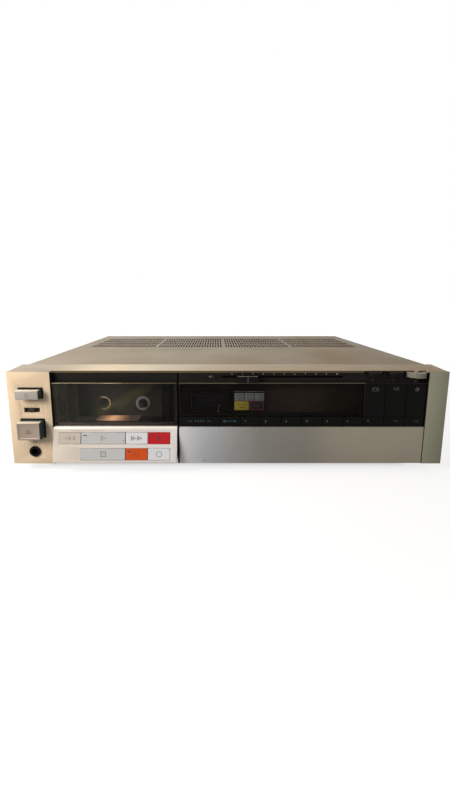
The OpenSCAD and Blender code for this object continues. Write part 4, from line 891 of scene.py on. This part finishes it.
def makeWheel(node, x, depth, radius, finish, look):
    wheel = addPost(node.replace("_wheel", "_thumbwheel"), x, depth, look["zs"], radius, look["teeth"] * 2)
    side = 180 / look["teeth"]

    def isGroove(c, n):
        turn = math.degrees(math.atan2(n.y, n.x)) % 360
        return abs(n.z) < 0.1 and round((turn - side / 2) / side) % 2 == 0
    insetFaces(wheel, isGroove, (0.2, 0), (0.15, -look["grooveDepth"]), apart=True)
    insetFaces(wheel, lambda c, n: n.z > 0.9, (1.2, 0), (0.4, -0.4))
    carve(wheel, addPost("bore_cutter", x, depth, (look["zs"][0] - 1, look["zs"][1] + 1), look["bore"]))
    roundEdges(wheel, look["rounding"], 2, 50)
    finishPiece(wheel, node, (finish,), node)


makeWheel("bass_wheel", 144.966, 8.5, 8, wheelBlack, wheelLook)
makeWheel("treble_wheel", 165.299, 8.5, 8, wheelBlack, wheelLook)
makeWheel("balance_wheel", 185.631, 5.5, 9, wheelWhite, wheelLook)

# Volume slider: a cap with an index groove, and a light bead along its top edge as a painted highlight
knobLook = {"x": 19.502, "width": 20.8, "depths": (-1, 6.2), "zs": (93.2, 99.6), "rounding": 0.6, "groove": 0.6,
            "grooveFloor": -0.55, "neckZs": (97.1, 98.3)}


def makeVolumeKnob(look):
    x, reach, half, floor = look["x"], look["width"] / 2, look["groove"], look["grooveFloor"]
    foot, top = look["zs"]
    knob = addBlock("volume_cap", (x - reach, x + reach), look["depths"], look["zs"])
    carve(knob, addBlock("groove_cutter", (x - half, x + half), (-2, floor), (foot - 1, top + 1)))
    roundEdges(knob, look["rounding"], 3, 40)
    neck = addBlock("knob_neck", (x - 2, x + 2), (6.1, 12), look["neckZs"])
    bead = addBlock("knob_highlight_bead", (x - reach + 0.7, x + reach - 0.7), (-0.85, 0.3), (top - 0.35, top + 0.3))
    roundEdges(bead, 0.15, 2, 40)
    low, high = place(x - half, 0, 0).x, place(x + half, 0, 0).x
    finishes = (wheelBlack, inkFinish("index_line", (62, 46, 41)), inkFinish("knob_highlight_bead", (128, 126, 112)))
    finishPiece(joinPieces(knob, [neck, bead]), "volume_knob", finishes, "volume_knob", [
        (1, lambda c, n: low < c.x < high and near(c.y, depthY(floor), 0.3)),
        (2, lambda c, n: c.z > (top + 0.02) * mm)])


makeVolumeKnob(knobLook)

# Marks of the strip and the black keys
blueInk = inkFinish("dim_blue_ink", (62, 100, 128))
stripDepth, keyFront, numeralZ, iconZ = 6.5, blackKeyLook["front"], 53.9, 86.4
printMarks("volume_scale", scaleInk, "root", [
    (addNumeral(str(k), 1.3), onFront(4.3 + 10.34 * k, stripDepth, 100.75)) for k in range(11)])
frontMarks("volume_mark", dimInk, "root",
           ((-16.5, stripDepth, 98.2), [[(-2.0, -0.5), (-1.1, -0.5), (0, -1.5), (0, 1.5), (-1.1, 0.5), (-2.0, 0.5)]]),
           ((-16.2, stripDepth, 98.2), *[[arcBand(0, 0, radius, 0.25, -45, 45, count)]
                                         for radius, count in ((1.2, 10), (2.2, 14))]))
frontMarks("wheel_dots", markInk, "root", *[((x, stripDepth, 95.4), [disc(0, 0, 0.4, 16)]) for x in (144.97, 165.3)])
for k in range(1, 8):
    printMarks("preset_numerals" if k == 1 else f"preset_numeral_{k}", markInk, f"preset_key_{k}",
               [(addNumeral(str(k), 1.9), onFront(column(2 + k) + 4.9, keyFront, numeralZ))])
zeroes = [(addNumeral("0", 1.9), onFront(column(1) - 3.9 + k * 2.6, keyFront, 54)) for k in range(4)]
bars = [(addOutline("bar", [slab(u, u + 4.4, -0.16, 0.16)]), onFront(column(1), keyFront, 54)) for u in (-11.6, 7.2)]
printMarks("reset_mark", blueInk, "counter_reset_key", zeroes + bars)
frontMarks("memory_mark", blueInk, "memory_key", (
    (column(2.22), keyFront, 54), ring(0, 0, 1.1, 0.75, 20), [slab(1.1, 10.2, -0.16, 0.16)], [disc(10.8, 0, 0.6, 16)]))
frontMarks("wide_wave", dimInk, "am_key", ((column(10.58), keyFront, numeralZ), [waveBand(5, 1.6, 2)]))
frontMarks("tight_wave", dimInk, "fm_key", ((column(11.58), keyFront, numeralZ), [waveBand(5, 1.6, 4)]))
frontMarks("tape_icon", dimInk, "tape_key", (
    (column(9.5), keyFront, iconZ), frameLoops(-3, 3, -1.8, 1.8, 0.28), ring(-1.3, 0.1, 0.65, 0.35, 16),
    ring(1.3, 0.1, 0.65, 0.35, 16)))
frontMarks("tuner_icon", dimInk, "tuner_key", (
    (column(10.5), keyFront, iconZ), [slab(-0.15, 0.15, -1.8, 1.2)], *[
        [arcBand(0, 0.9, radius, 0.26, start, end, count)] for radius, start, end, count in (
            (1.5, 130, 230, 12), (1.5, -50, 50, 12), (2.5, 135, 225, 14), (2.5, -45, 45, 14))]))
frontMarks("disc_icon", dimInk, "phono_key", (
    (column(11.5), keyFront, iconZ), ring(0, 0, 1.9, 1.62, 28), [disc(0, 0, 0.8, 20), disc(0, 0, 0.25, 12)],
    [[(1.9, 1.9), (2.3, 1.7), (1.3, -0.7), (1.0, -0.5)]]))
print("strip controls ready")

# Ledge highlight: the thin bright line along the windows' top is a painted highlight, made as a strip of light metal,
# with a brighter spot on the door side and dimmer on the display side
ledgeHighlight = brushedFinish("ledge_painted_highlight", {
    "stretch": (30, 900, 900), "color": (232, 214, 180), "line": (206, 186, 150), "cloud": (150, 136, 108),
    "cloudAmount": 0.4, "cloudScale": 40, "scratch": (250, 234, 204), "roughness": (0.25, 0.4), "metallic": 0.6,
    "paintedLightWander": 0.004, "aged": [(-0.17, (0.42, 0.45, 0.46)), (-0.125, (0.46, 0.46, 0.44)), (-0.113, (1, 1, 1)),
    (-0.1, (0.42, 0.38, 0.32)), (-0.05, (0.25, 0.24, 0.17))]})
dimLedgeHighlight = brushedFinish("ledge_dim_painted_highlight", {
    "stretch": (30, 900, 900), "color": (132, 126, 104), "line": (112, 105, 84), "cloud": (62, 58, 46),
    "cloudAmount": 0.75, "cloudScale": 40, "scratch": (150, 140, 110), "roughness": (0.3, 0.42), "metallic": 0.3})
makeBlock("door_ledge_highlight", (-172.6, -50.3), (1.32, 1.9), (92.35, 92.88), 0.12, "door", ledgeHighlight)
makeBlock("display_ledge_highlight", (-47.9, 134.5), (1.32, 1.9), (92.35, 92.88), 0.12, "root", dimLedgeHighlight)
makeBlock("display_pane_end_line", (134.55, 134.95), (1.4, 1.9), (58.9, 92.8), 0.1, "root",
          inkFinish("trim_end_ink", (38, 36, 29), 0.5, 0.1))

# Display behind the pane: counter with unlit digits, and the tile block
digitDark = inkFinish("unlit_digit", (20, 21, 27), 0.4, 0.08)
displayGrey = satinFinish("display_grey", {
    "tones": ((9, 9, 12), (8, 8, 10), (12, 12, 15), (20, 19, 19)), "marked": 0.1, "roughness": (0.45, 0.55),
    "specular": 0.05, "grain": 0.006})
tileGrey = satinFinish("tile_grey", {
    "tones": ((167, 173, 177), (159, 165, 169), (134, 137, 142), (120, 120, 122)), "roughness": (0.3, 0.4),
    "specular": 0.2, "grain": 0.01})
tileYellow = satinFinish("tile_yellow", {
    "tones": ((226, 206, 78), (216, 196, 70), (192, 174, 60), (176, 156, 48)), "roughness": (0.3, 0.4),
    "grain": 0.01})
tileDark = satinFinish("tile_dark", {
    "tones": ((44, 46, 52), (40, 42, 48), (52, 54, 60), (60, 56, 56)), "roughness": (0.25, 0.35), "specular": 0.2,
    "grain": 0.01})
tileInk = inkFinish("tile_ink", (84, 86, 92))
pinkInk = inkFinish("pink_line_ink", (190, 60, 96))
rustInk = inkFinish("rust_ink", (124, 56, 24))
whiteInk = inkFinish("white_ink", (235, 235, 228))
displayLook = {"face": 7, "back": 18, "tileThick": 0.6, "counterX": (-35.798, 0.402), "counterZ": (65.1, 81.5),
               "rim": 1.5, "tilesX": (6.802, 37.002), "tilesZ": (63.7, 83.6), "tileTop": 81.3, "lowTile": 9,
               "gap": 0.6, "rounding": 0.15, "digitX": -28.5, "digitPitch": 7.2, "stroke": (1.9, 0.42)}


def makeDisplay(look):
    face, back, rounding, half = look["face"], look["back"], look["rounding"], look["gap"] / 2
    (x0, x1), (z0, z1) = look["tilesX"], look["tilesZ"]
    counter = addBlock("counter_frame", look["counterX"], (face, back), look["counterZ"])
    insetFaces(counter, lambda c, n: near(c.y, depthY(face)), (look["rim"], 0), (0.1, -1))
    bed = addBlock("tile_bed", (x0, x1), (face + look["tileThick"], back), (z0, z1))
    for part in (counter, bed):
        roundEdges(part, rounding)
    finishPiece(joinPieces(counter, [bed]), "root", (displayGrey,), "display_unit")
    split = z0 + look["lowTile"]
    for low, high, finishes in ((split + look["gap"], look["tileTop"], (tileGrey,) * 3),
                                (z0, split, (tileYellow, tileDark))):
        step = (x1 - x0) / len(finishes)
        for k, finish in enumerate(finishes):
            makeBlock(f"tile_{len(finishes)}_{k + 1}", (x0 + k * step + half, x0 + (k + 1) * step - half),
                      (face, face + look["tileThick"] + 0.1), (low, high), rounding, "root", finish)
    long, thin = look["stroke"]
    strokes = [(0, z, long, thin) for z in (4.6, 0, -4.6)] + [
        (x, z, thin, long) for z in (2.3, -2.3) for x in (-2.3, 2.3)]
    frontMarks("counter_digits", digitDark, "root", *[
        ((look["digitX"] + digit * look["digitPitch"], face + 0.96, 73.3),
         *[[slab(x - w, x + w, z - h, z + h)] for x, z, w, h in strokes]) for digit in range(4)])


makeDisplay(displayLook)
frontMarks("tile_lines", tileInk, "root", *[
    ((11.83 + k * 10.07, 7, 77.3), *[[slab(-half, half, row - 0.16, row + 0.16)] for row, half in (
        (2.6, 3.2), (1.1, 2.6), (-1.2, 3.0), (-2.7, 1.8))]) for k in range(3)])
frontMarks("tile_dot", whiteInk, "root", ((10.1, 6.97, 74.3), [disc(0, 0, 0.5, 16)]),
           ((0, 6.97, 82.9), [slab(6.8, 37, 0, 0.14)]))
frontMarks("yellow_lines", rustInk, "root", ((14.4, 7, 66.5), [slab(-2.6, 2.6, -0.35, 0.35)]),
           ((14.4, 7, 69.7), [slab(-5.6, 5.6, -0.2, 0.2)]))
frontMarks("pink_frame", pinkInk, "root", ((29.45, 7, 68.2), frameLoops(-7, 7, -4.3, 4.3, 0.4)),
           ((29.45, 7, 67.9), [slab(-2.4, 2.4, -0.16, 0.16)]))
frontMarks("counter_leader", greyInk, "root",
           ((-8.6, 1.5, 69.6), [[(-0.55, -5.4), (-0.35, -5.5), (0.1, -2.0), (-0.1, -2.0)]],
            [[(-0.55, -5.3), (-0.35, -5.5), (-1.5, -6.6), (-1.7, -6.4)]]),
           ((-8.2, 1.5, 69.6), [slab(-0.22, 0.22, -0.7, 0.8)]))
print("display ready")


def depthOf(point):
    return (point.y - faceY) / mm


def within(c, xs, depths, zs):
    return xs[0] <= c.x / mm <= xs[1] and depths[0] <= depthOf(c) <= depths[1] and zs[0] <= c.z / mm <= zs[1]


def fromAxis(c, x, z):
    return math.hypot(c.x / mm - x, c.z / mm - z)


# Reel tables: bright ring on a dark table, spindle with six vanes
ringLook = {
    "stretch": (600, 600, 600), "color": (232, 232, 250), "line": (220, 220, 240), "cloud": (206, 200, 198),
    "cloudAmount": 0.4, "cloudScale": 60, "scratch": (244, 242, 240), "roughness": (0.24, 0.34), "metallic": 0.1,
    "paintedLightWander": 0.001}
# Painted reflections on the rings: the take-up ring is cool at its left and brownish at its right; the supply ring is
# dark at its left and gold at its right, as a painted highlight
takeupRingReflection = brushedFinish("takeup_ring_metal", dict(
    ringLook, aged=[(-0.0955, (0.86, 0.88, 1)), (-0.0865, (0.84, 0.76, 0.64))]))
supplyRingHighlight = brushedFinish("supply_ring_metal", dict(
    ringLook, color=(255, 236, 190), line=(255, 226, 170), cloud=(240, 196, 120), scratch=(255, 240, 210),
    metallic=0.85, aged=[(-0.1365, (0.12, 0.115, 0.11)), (-0.1315, (1, 1, 1))]))
spindleResin = satinFinish("spindle_resin", {
    "tones": ((46, 46, 48), (40, 40, 42), (58, 58, 60), (80, 76, 70)), "marked": 0.15, "roughness": (0.3, 0.4)})
reelLook = {"z": 62.5, "table": (36.4, 37.6), "radius": 7.9, "ring": 2.9, "spindle": 2.6, "vane": 4.2,
            "shaftEnd": 42.3, "shaft": 2.45, "collar": 4}


def makeReel(node, name, x, ringMetal, look):
    (front, back), z, end = look["table"], look["z"], look["shaftEnd"]
    table = addRod(name, x, z, (front, back), look["radius"], 64)
    insetFaces(table, lambda c, n: near(c.y, depthY(front)) and n.y < -0.5, (look["ring"] - 0.1, 0), (0.1, -0.5))
    roundEdges(table, 0.25, 3, 40)
    spindle = addRod("spindle", x, z, (front - 9.2, back - 0.1), look["spindle"])
    insetFaces(spindle, lambda c, n: n.y < -0.9, (1.3, 0.6))
    roundEdges(spindle, 0.3, 2, 40)
    parts = [spindle]
    for k in range(6):
        vane = addBlock("vane", (-0.5, 0.5), (front - 7.5, front + 0.6), (0, look["vane"]))
        pick(vane, "FACE", lambda c, n: n.y < -0.9)
        bpy.ops.transform.resize(value=(0.6, 1, 0.4), center_override=place(0, front - 7.5, 0.2))
        endEdit()
        roundEdges(vane, 0.12, 2, 30)
        vane.data.transform(Matrix.Translation((x * mm, 0, z * mm)) @ Matrix.Rotation(math.radians(60 * k), 4, "Y"))
        parts.append(vane)
    parts += [addRod("shaft", x, z, (back - 0.1, end), look["shaft"]),
              addRod("collar", x, z, (end - 2, end), look["collar"])]
    roundEdges(parts[-1], 0.2)
    finishPiece(joinPieces(table, parts), node, (ringMetal, spindleResin), node, [
        (1, lambda c, n: fromAxis(c, x, z) < look["radius"] - look["ring"] and c.y < depthY(back + 0.02))])


makeReel("supply_reel", "supply_table", -132.698, supplyRingHighlight, dict(reelLook, ring=2))
makeReel("takeup_reel", "takeup_table", -90.198, takeupRingReflection, reelLook)

# Lamp lens: ribbed bronze plastic over the well's shelf
lensLow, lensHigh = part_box("lamp_lens")
# The lens's warm glow in the middle is a painted highlight
lensFinish = stackFinish("lens_bronze_ribs", {
    "scale": 157, "axis": "X", "seam": (108, 88, 76), "color": (214, 186, 168), "rust": (190, 140, 110),
    "metallic": 0.0, "glow": 1.5, "middle": lensLow[0] + 0.38 * (lensHigh[0] - lensLow[0]), "reach": 0.02,
    "warm": (255, 188, 132)})
dress("lamp_lens", "lens_ribs", "door", 0, (lensFinish,))
print("reels and lens ready")

# Headphone socket, timer switch and the controls behind the flap
jackResin = satinFinish("jack_resin", {
    "tones": ((28, 27, 26), (24, 24, 23), (40, 38, 36), (62, 58, 52)), "marked": 0.15, "worn": ((86, 82, 76), 0.4),
    "roughness": (0.32, 0.42)})
sliderBrown = satinFinish("slider_brown_resin", {
    "tones": ((40, 35, 30), (35, 31, 27), (48, 43, 38), (62, 56, 49)), "marked": 0.15, "worn": ((84, 77, 68), 0.3),
    "roughness": (0.4, 0.5), "specular": 0.2})
for node, name, body, slot, rounding, finish in (
        ("headphone_jack", "headphone_bush", "root", "terminal_resin", 0.2, blackKey),
        ("timer_switch", "timer_slider", "timer_switch", "wheel_black", 0.2, sliderBrown),
        ("control_recess", "recess_tub", "root", "black_resin", 0.2, blackResin),
        ("level_knob", "level_cap", "level_knob", "wheel_black", 0.3, wheelBlack),
        ("tuning_rocker", "rocker_cap", "tuning_rocker", "wheel_black", 0.3, wheelBlack)):
    dress(node, name, body, rounding, (finish,))
print("small mouldings ready")

# Black collars in the end panel's openings, a mask behind the display pane, and a cheek beside the door; the collars
# and the cheek are dark pieces put in the gaps as painted shade
shadowCollarLook = {"clear": 0.3, "width": 0.9, "depths": (-0.18, 0.4)}


def makeCollar(name, button, look):
    x, z, rim = controlsX, button["z"], look["width"]
    wide, half = button["width"] / 2 + look["clear"], button["height"] / 2 + look["clear"]
    makeBlock(name, (x - wide - rim, x + wide + rim), look["depths"], (z - half - rim, z + half + rim), 0.1, "root",
              shadeBlack, [addBlock("collar_cutter", (x - wide, x + wide), (-2, 3), (z - half, z + half))], 40)


makeCollar("power_shadow_collar", powerButton, shadowCollarLook)
makeCollar("eject_shadow_collar", ejectButton, shadowCollarLook)
makeBlock("display_mask", (-46.1, 133), (9.2, 10), (59.2, 91.2), 0.15, "root", maskPaintedLight, [
    addBlock("counter_opening", (-36.2, 0.8), (8, 12), (64.7, 81.9)),
    addBlock("tile_opening", (6.5, 37.3), (8, 12), (63.4, 83.9))])
makeBlock("bay_shadow_cheek", (-49.75, -48.05), (0.3, 22), (10.1, 48.2), 0.2, "root", shadeBlack, [
    addAxle("pin_hole", (-52, -46), 1.9, flapLook["pinDepth"], flapLook["pinZ"])])
print("shades ready")

# Inside and rear
zincPlate = platedFinish("zinc_plated_sheet", {
    "scale": 160, "color": (176, 176, 172), "patch": (160, 160, 158), "film": (140, 138, 130),
    "roughness": (0.3, 0.45), "metallic": 0.75})
nickel = platedFinish("nickel_plate", {
    "scale": 500, "color": (200, 196, 186), "patch": (188, 184, 174), "film": (170, 160, 142),
    "roughness": (0.16, 0.28), "metallic": 1.0})
screwSteel = platedFinish("blackened_screw_steel", {
    "scale": 700, "color": (92, 90, 88), "patch": (76, 75, 74), "film": (112, 104, 94), "roughness": (0.28, 0.42),
    "metallic": 0.9})
turnedSteel = brushedFinish("turned_steel", {
    "stretch": (120, 1800, 120), "color": (178, 176, 172), "line": (160, 158, 154), "cloud": (140, 136, 130),
    "cloudAmount": 0.3, "scratch": (205, 203, 200), "roughness": (0.22, 0.36), "metallic": 0.9})
rearPaint = satinFinish("rear_dark_paint", {
    "tones": ((58, 57, 55), (52, 51, 49), (74, 72, 68), (98, 94, 86)), "speckle": 0.35,
    "worn": ((140, 138, 132), 0.5), "roughness": (0.42, 0.52), "metallic": 0.2, "grainScale": 1500, "grain": 0.05})
footRubber = satinFinish("foot_rubber", {
    "tones": ((34, 34, 34), (29, 29, 29), (48, 47, 45), (92, 88, 80)), "speckle": 0.35, "marked": 0.3,
    "worn": ((84, 82, 76), 0.5), "roughness": (0.72, 0.85), "specular": 0.25, "grainScale": 900, "grain": 0.06})
anodisedBlack = satinFinish("anodised_black", {
    "tones": ((36, 36, 38), (30, 30, 32), (50, 50, 52), (84, 82, 78)), "worn": ((124, 122, 118), 0.5),
    "roughness": (0.34, 0.44), "metallic": 0.4})
terminalRed = satinFinish("terminal_red", {
    "tones": ((176, 34, 34), (164, 30, 30), (196, 60, 54), (120, 30, 28)), "speckle": 0.2, "marked": 0.25,
    "roughness": (0.3, 0.4)})
terminalWhite = satinFinish("terminal_white", {
    "tones": ((214, 210, 200), (206, 200, 188), (190, 184, 170), (160, 150, 132)), "speckle": 0.2, "marked": 0.25,
    "roughness": (0.3, 0.4)})
windingTape = satinFinish("winding_tape", {
    "tones": ((188, 150, 62), (172, 134, 50), (204, 172, 92), (120, 86, 40)), "marked": 0.4, "markScale": 120,
    "roughness": (0.25, 0.4), "grain": 0.04})
capSleeve = satinFinish("capacitor_sleeve", {
    "tones": ((34, 44, 74), (28, 37, 64), (52, 62, 92), (80, 88, 110)), "speckle": 0.2, "roughness": (0.2, 0.3),
    "grain": 0.01})
laminations = stackFinish("transformer_laminations", {
    "scale": 300, "axis": "Y", "seam": (30, 26, 24), "color": (112, 102, 92), "rust": (112, 66, 38),
    "metallic": 0.4})
greenBoard = boardFinish("circuit_board", {"mask": (30, 78, 46), "track": (52, 112, 66), "pad": (184, 180, 166)})
rubberBlack = satinFinish("roller_rubber", {
    "tones": ((28, 28, 28), (24, 24, 24), (42, 41, 40), (82, 62, 50)), "speckle": 0.3, "marked": 0.4,
    "roughness": (0.6, 0.72), "grain": 0.03})
capacitors = [(10 + 30 * k, 190) for k in range(3)]
leverX = (-80, -60, -40, -20)
socketX, socketRows, dinX = [20 + 19 * k for k in range(5)], (31.2, 50.2), [132 + 12 * k for k in range(4)]
rollerX, rollerZ = -80.448, 22.5


def isLever(c, xs):
    return depthOf(c) > 338.05 and any(abs(c.x / mm - x) < 5.1 for x in xs)


def isSocket(c, z, low, high, depth):
    return depthOf(c) > depth and any(low <= fromAxis(c, x, z) <= high for x in socketX)


dress("front_board", "control_board", "root", 0.15, (greenBoard, blackResin), [
    (1, lambda c, n: within(c, (-8, 116), (12, 18.05), (95, 100.6)))])
dress("main_board", "amplifier_board", "root", 0.2, (greenBoard, capSleeve, blackResin, nickel), [
    (1, lambda c, n: c.z > 18.9 * mm and any(math.hypot(c.x / mm - x, depthOf(c) - t) < 11.2 for x, t in capacitors)),
    (2, lambda c, n: within(c, (-0.1, 100.1), (99.9, 108.1), (18.9, 22.3))),
    (3, lambda c, n: within(c, (133.7, 183.9), (119.9, 190.1), (18.9, 39.3)) or c.z < 17.1 * mm)])
dress("power_transformer", "mains_transformer", "root", 0.5,
      (laminations, windingTape, zincPlate), [
          (1, lambda c, n: abs(depthOf(c) - 262.5) > 30.7 and 21 < c.z / mm < 65.4),
          (2, lambda c, n: c.z < 13.25 * mm)])
for node, name, slot, rounding, finish in (
        ("heat_sink", "finned_sink", "sink_aluminium", 0.3, anodisedBlack),
        ("rear_panel", "rear_sheet", "dark_paint", 0.15, rearPaint),
        ("bottom_tray", "tray_sheet", "zinc_steel", 0.15, zincPlate),
        ("feet", "rubber_feet", "foot_rubber", 0.5, footRubber),
        ("case_screws", "case_screw_heads", "screw_steel", 0.15, screwSteel)):
    dress(node, name, "root", rounding, (finish,))
dress("speaker_terminals", "spring_terminals", "root", 0.4, (jackResin, terminalRed, blackResin), [
    (1, lambda c, n: isLever(c, leverX[::2])), (2, lambda c, n: isLever(c, leverX[1::2]))])
dress("signal_sockets", "phono_sockets", "root", 0.2,
      (jackResin, nickel, terminalWhite, terminalRed), [
          (1, lambda c, n: any(isSocket(c, z, 0, 4.3, 337.02) for z in socketRows)),
          (2, lambda c, n: n.y > 0.9 and isSocket(c, socketRows[1], 1.9, 3.9, 345)),
          (3, lambda c, n: n.y > 0.9 and isSocket(c, socketRows[0], 1.9, 3.9, 345)),
          (1, lambda c, n: depthOf(c) > 339.02 and any(fromAxis(c, x, 34.2) <= 3.7 for x in dinX))])
dress("mains_inlet", "appliance_inlet", "root", 0.2, (jackResin, nickel), [
    (1, lambda c, n: depthOf(c) > 321.1 and any(fromAxis(c, x, 33.2) <= 1.3 for x in (-179.098, -170.498)))])
dress("flywheel", "capstan_flywheel", "flywheel", 0.3, (turnedSteel,))
dress("head_bridge", "tape_heads", "head_bridge", 0.2, (turnedSteel, nickel, rubberBlack), [
    (1, lambda c, n: c.z > 19.5 * mm and c.x < -100 * mm),
    (2, lambda c, n: 1.25 < fromAxis(c, rollerX, rollerZ) <= 6.1 and depthOf(c) < 35.9 and c.z > 16 * mm)])
dress("deck_motors", "deck_motor_cans", "root", 0.3, (turnedSteel,))
print("inside and rear ready")

# Studio: pale floor, soft light from the left front, and the camera
floorLook = {"grey": 0.3, "fade": (0.3, 1.1, 0.8, 0.95), "under": (0.185, 0.148), "skirt": (-0.03, 0.005)}
worldLook = {"tint": (0.96, 0.98, 0.93, 1), "light": 0.26}


def makeStudio():
    floor = added("floor", bpy.ops.mesh.primitive_plane_add, size=14)
    bench = NodeBench(bpy.data.materials.new("floor_white"))
    bench.tree.nodes.clear()
    diffuse = bench.add("BsdfDiffuse", {"Color": (*[floorLook["grey"]] * 3, 1)})
    bench.coords = bench.add("TexCoord").outputs["Object"]
    away = bench.add("VectorMath", {0: bench.coords}, operation="LENGTH").outputs["Value"]
    ray = bench.add("LightPath").outputs
    seen = bench.math("MAXIMUM", ray["Is Camera Ray"], ray["Is Glossy Ray"])
    sides = [bench.math("SUBTRACT", bench.math("ABSOLUTE", bench.along(axis)), limit)
             for axis, limit in enumerate(floorLook["under"])]
    # The camera glow is weaker near the object and gone beneath it, so the floor darkens there, as painted shade
    # joining the floor's real shadow
    shadow = bench.spread(bench.math("MAXIMUM", *sides), *floorLook["skirt"])
    share = bench.times(bench.spread(away, *floorLook["fade"]), shadow)
    glow = bench.add("Emission", {"Color": (1, 1, 1, 1), "Strength": bench.times(seen, share)})
    both = bench.add("AddShader", {0: diffuse.outputs[0], 1: glow.outputs[0]})
    bench.add("OutputMaterial", {"Surface": both.outputs[0]})
    floor.data.materials.append(bench.owner)
    world = bpy.data.worlds.new("studio")
    bpy.context.scene.world = world
    bench = NodeBench(world)
    bench.tree.nodes.clear()
    ray = bench.add("LightPath").outputs
    seen = bench.math("MAXIMUM", ray["Is Camera Ray"], ray["Is Transmission Ray"])
    seen = bench.math("MAXIMUM", seen, ray["Is Glossy Ray"])
    background = bench.add("Background", {"Color": bench.blend(seen, worldLook["tint"], (1, 1, 1, 1)),
                                          "Strength": bench.spread(seen, 0, 1, worldLook["light"], 1.0)})
    bench.add("OutputWorld", {"Surface": background.outputs[0]})


def linked(name, data, spot, turn):
    holder = bpy.data.objects.new(name, data)
    bpy.context.scene.collection.objects.link(holder)
    holder.location, holder.rotation_euler = spot, turn
    return holder


def addLamp(name, spot, target, size, power, color):
    lamp = bpy.data.lights.new(name, "AREA")
    lamp.shape, lamp.size, lamp.energy, lamp.color = "DISK", size, power, color
    linked(name, lamp, spot, (Vector(target) - Vector(spot)).to_track_quat("-Z", "Y").to_euler())


def makeCamera():
    view = bpy.data.cameras.new("camera")
    view.sensor_fit, view.sensor_height, view.lens = "VERTICAL", 36, 17.01
    view.shift_x, view.shift_y, view.clip_start = 0.0125, -0.0465, 0.01
    bpy.context.scene.camera = linked("camera", view, (-0.0124, -0.5266, 0.1745), (math.radians(80.3), 0, 0))


makeStudio()
addLamp("key_left", (-0.5, -0.52, 0.36), (-0.12, -0.1, 0.06), 0.35, 4.6, (1.0, 0.92, 0.83))
addLamp("top_soft", (-0.15, 0.15, 1.35), (-0.05, 0.05, 0.1), 0.9, 2.4, (1.0, 0.97, 0.9))
makeCamera()
bpy.context.scene.view_settings.view_transform = "Standard"
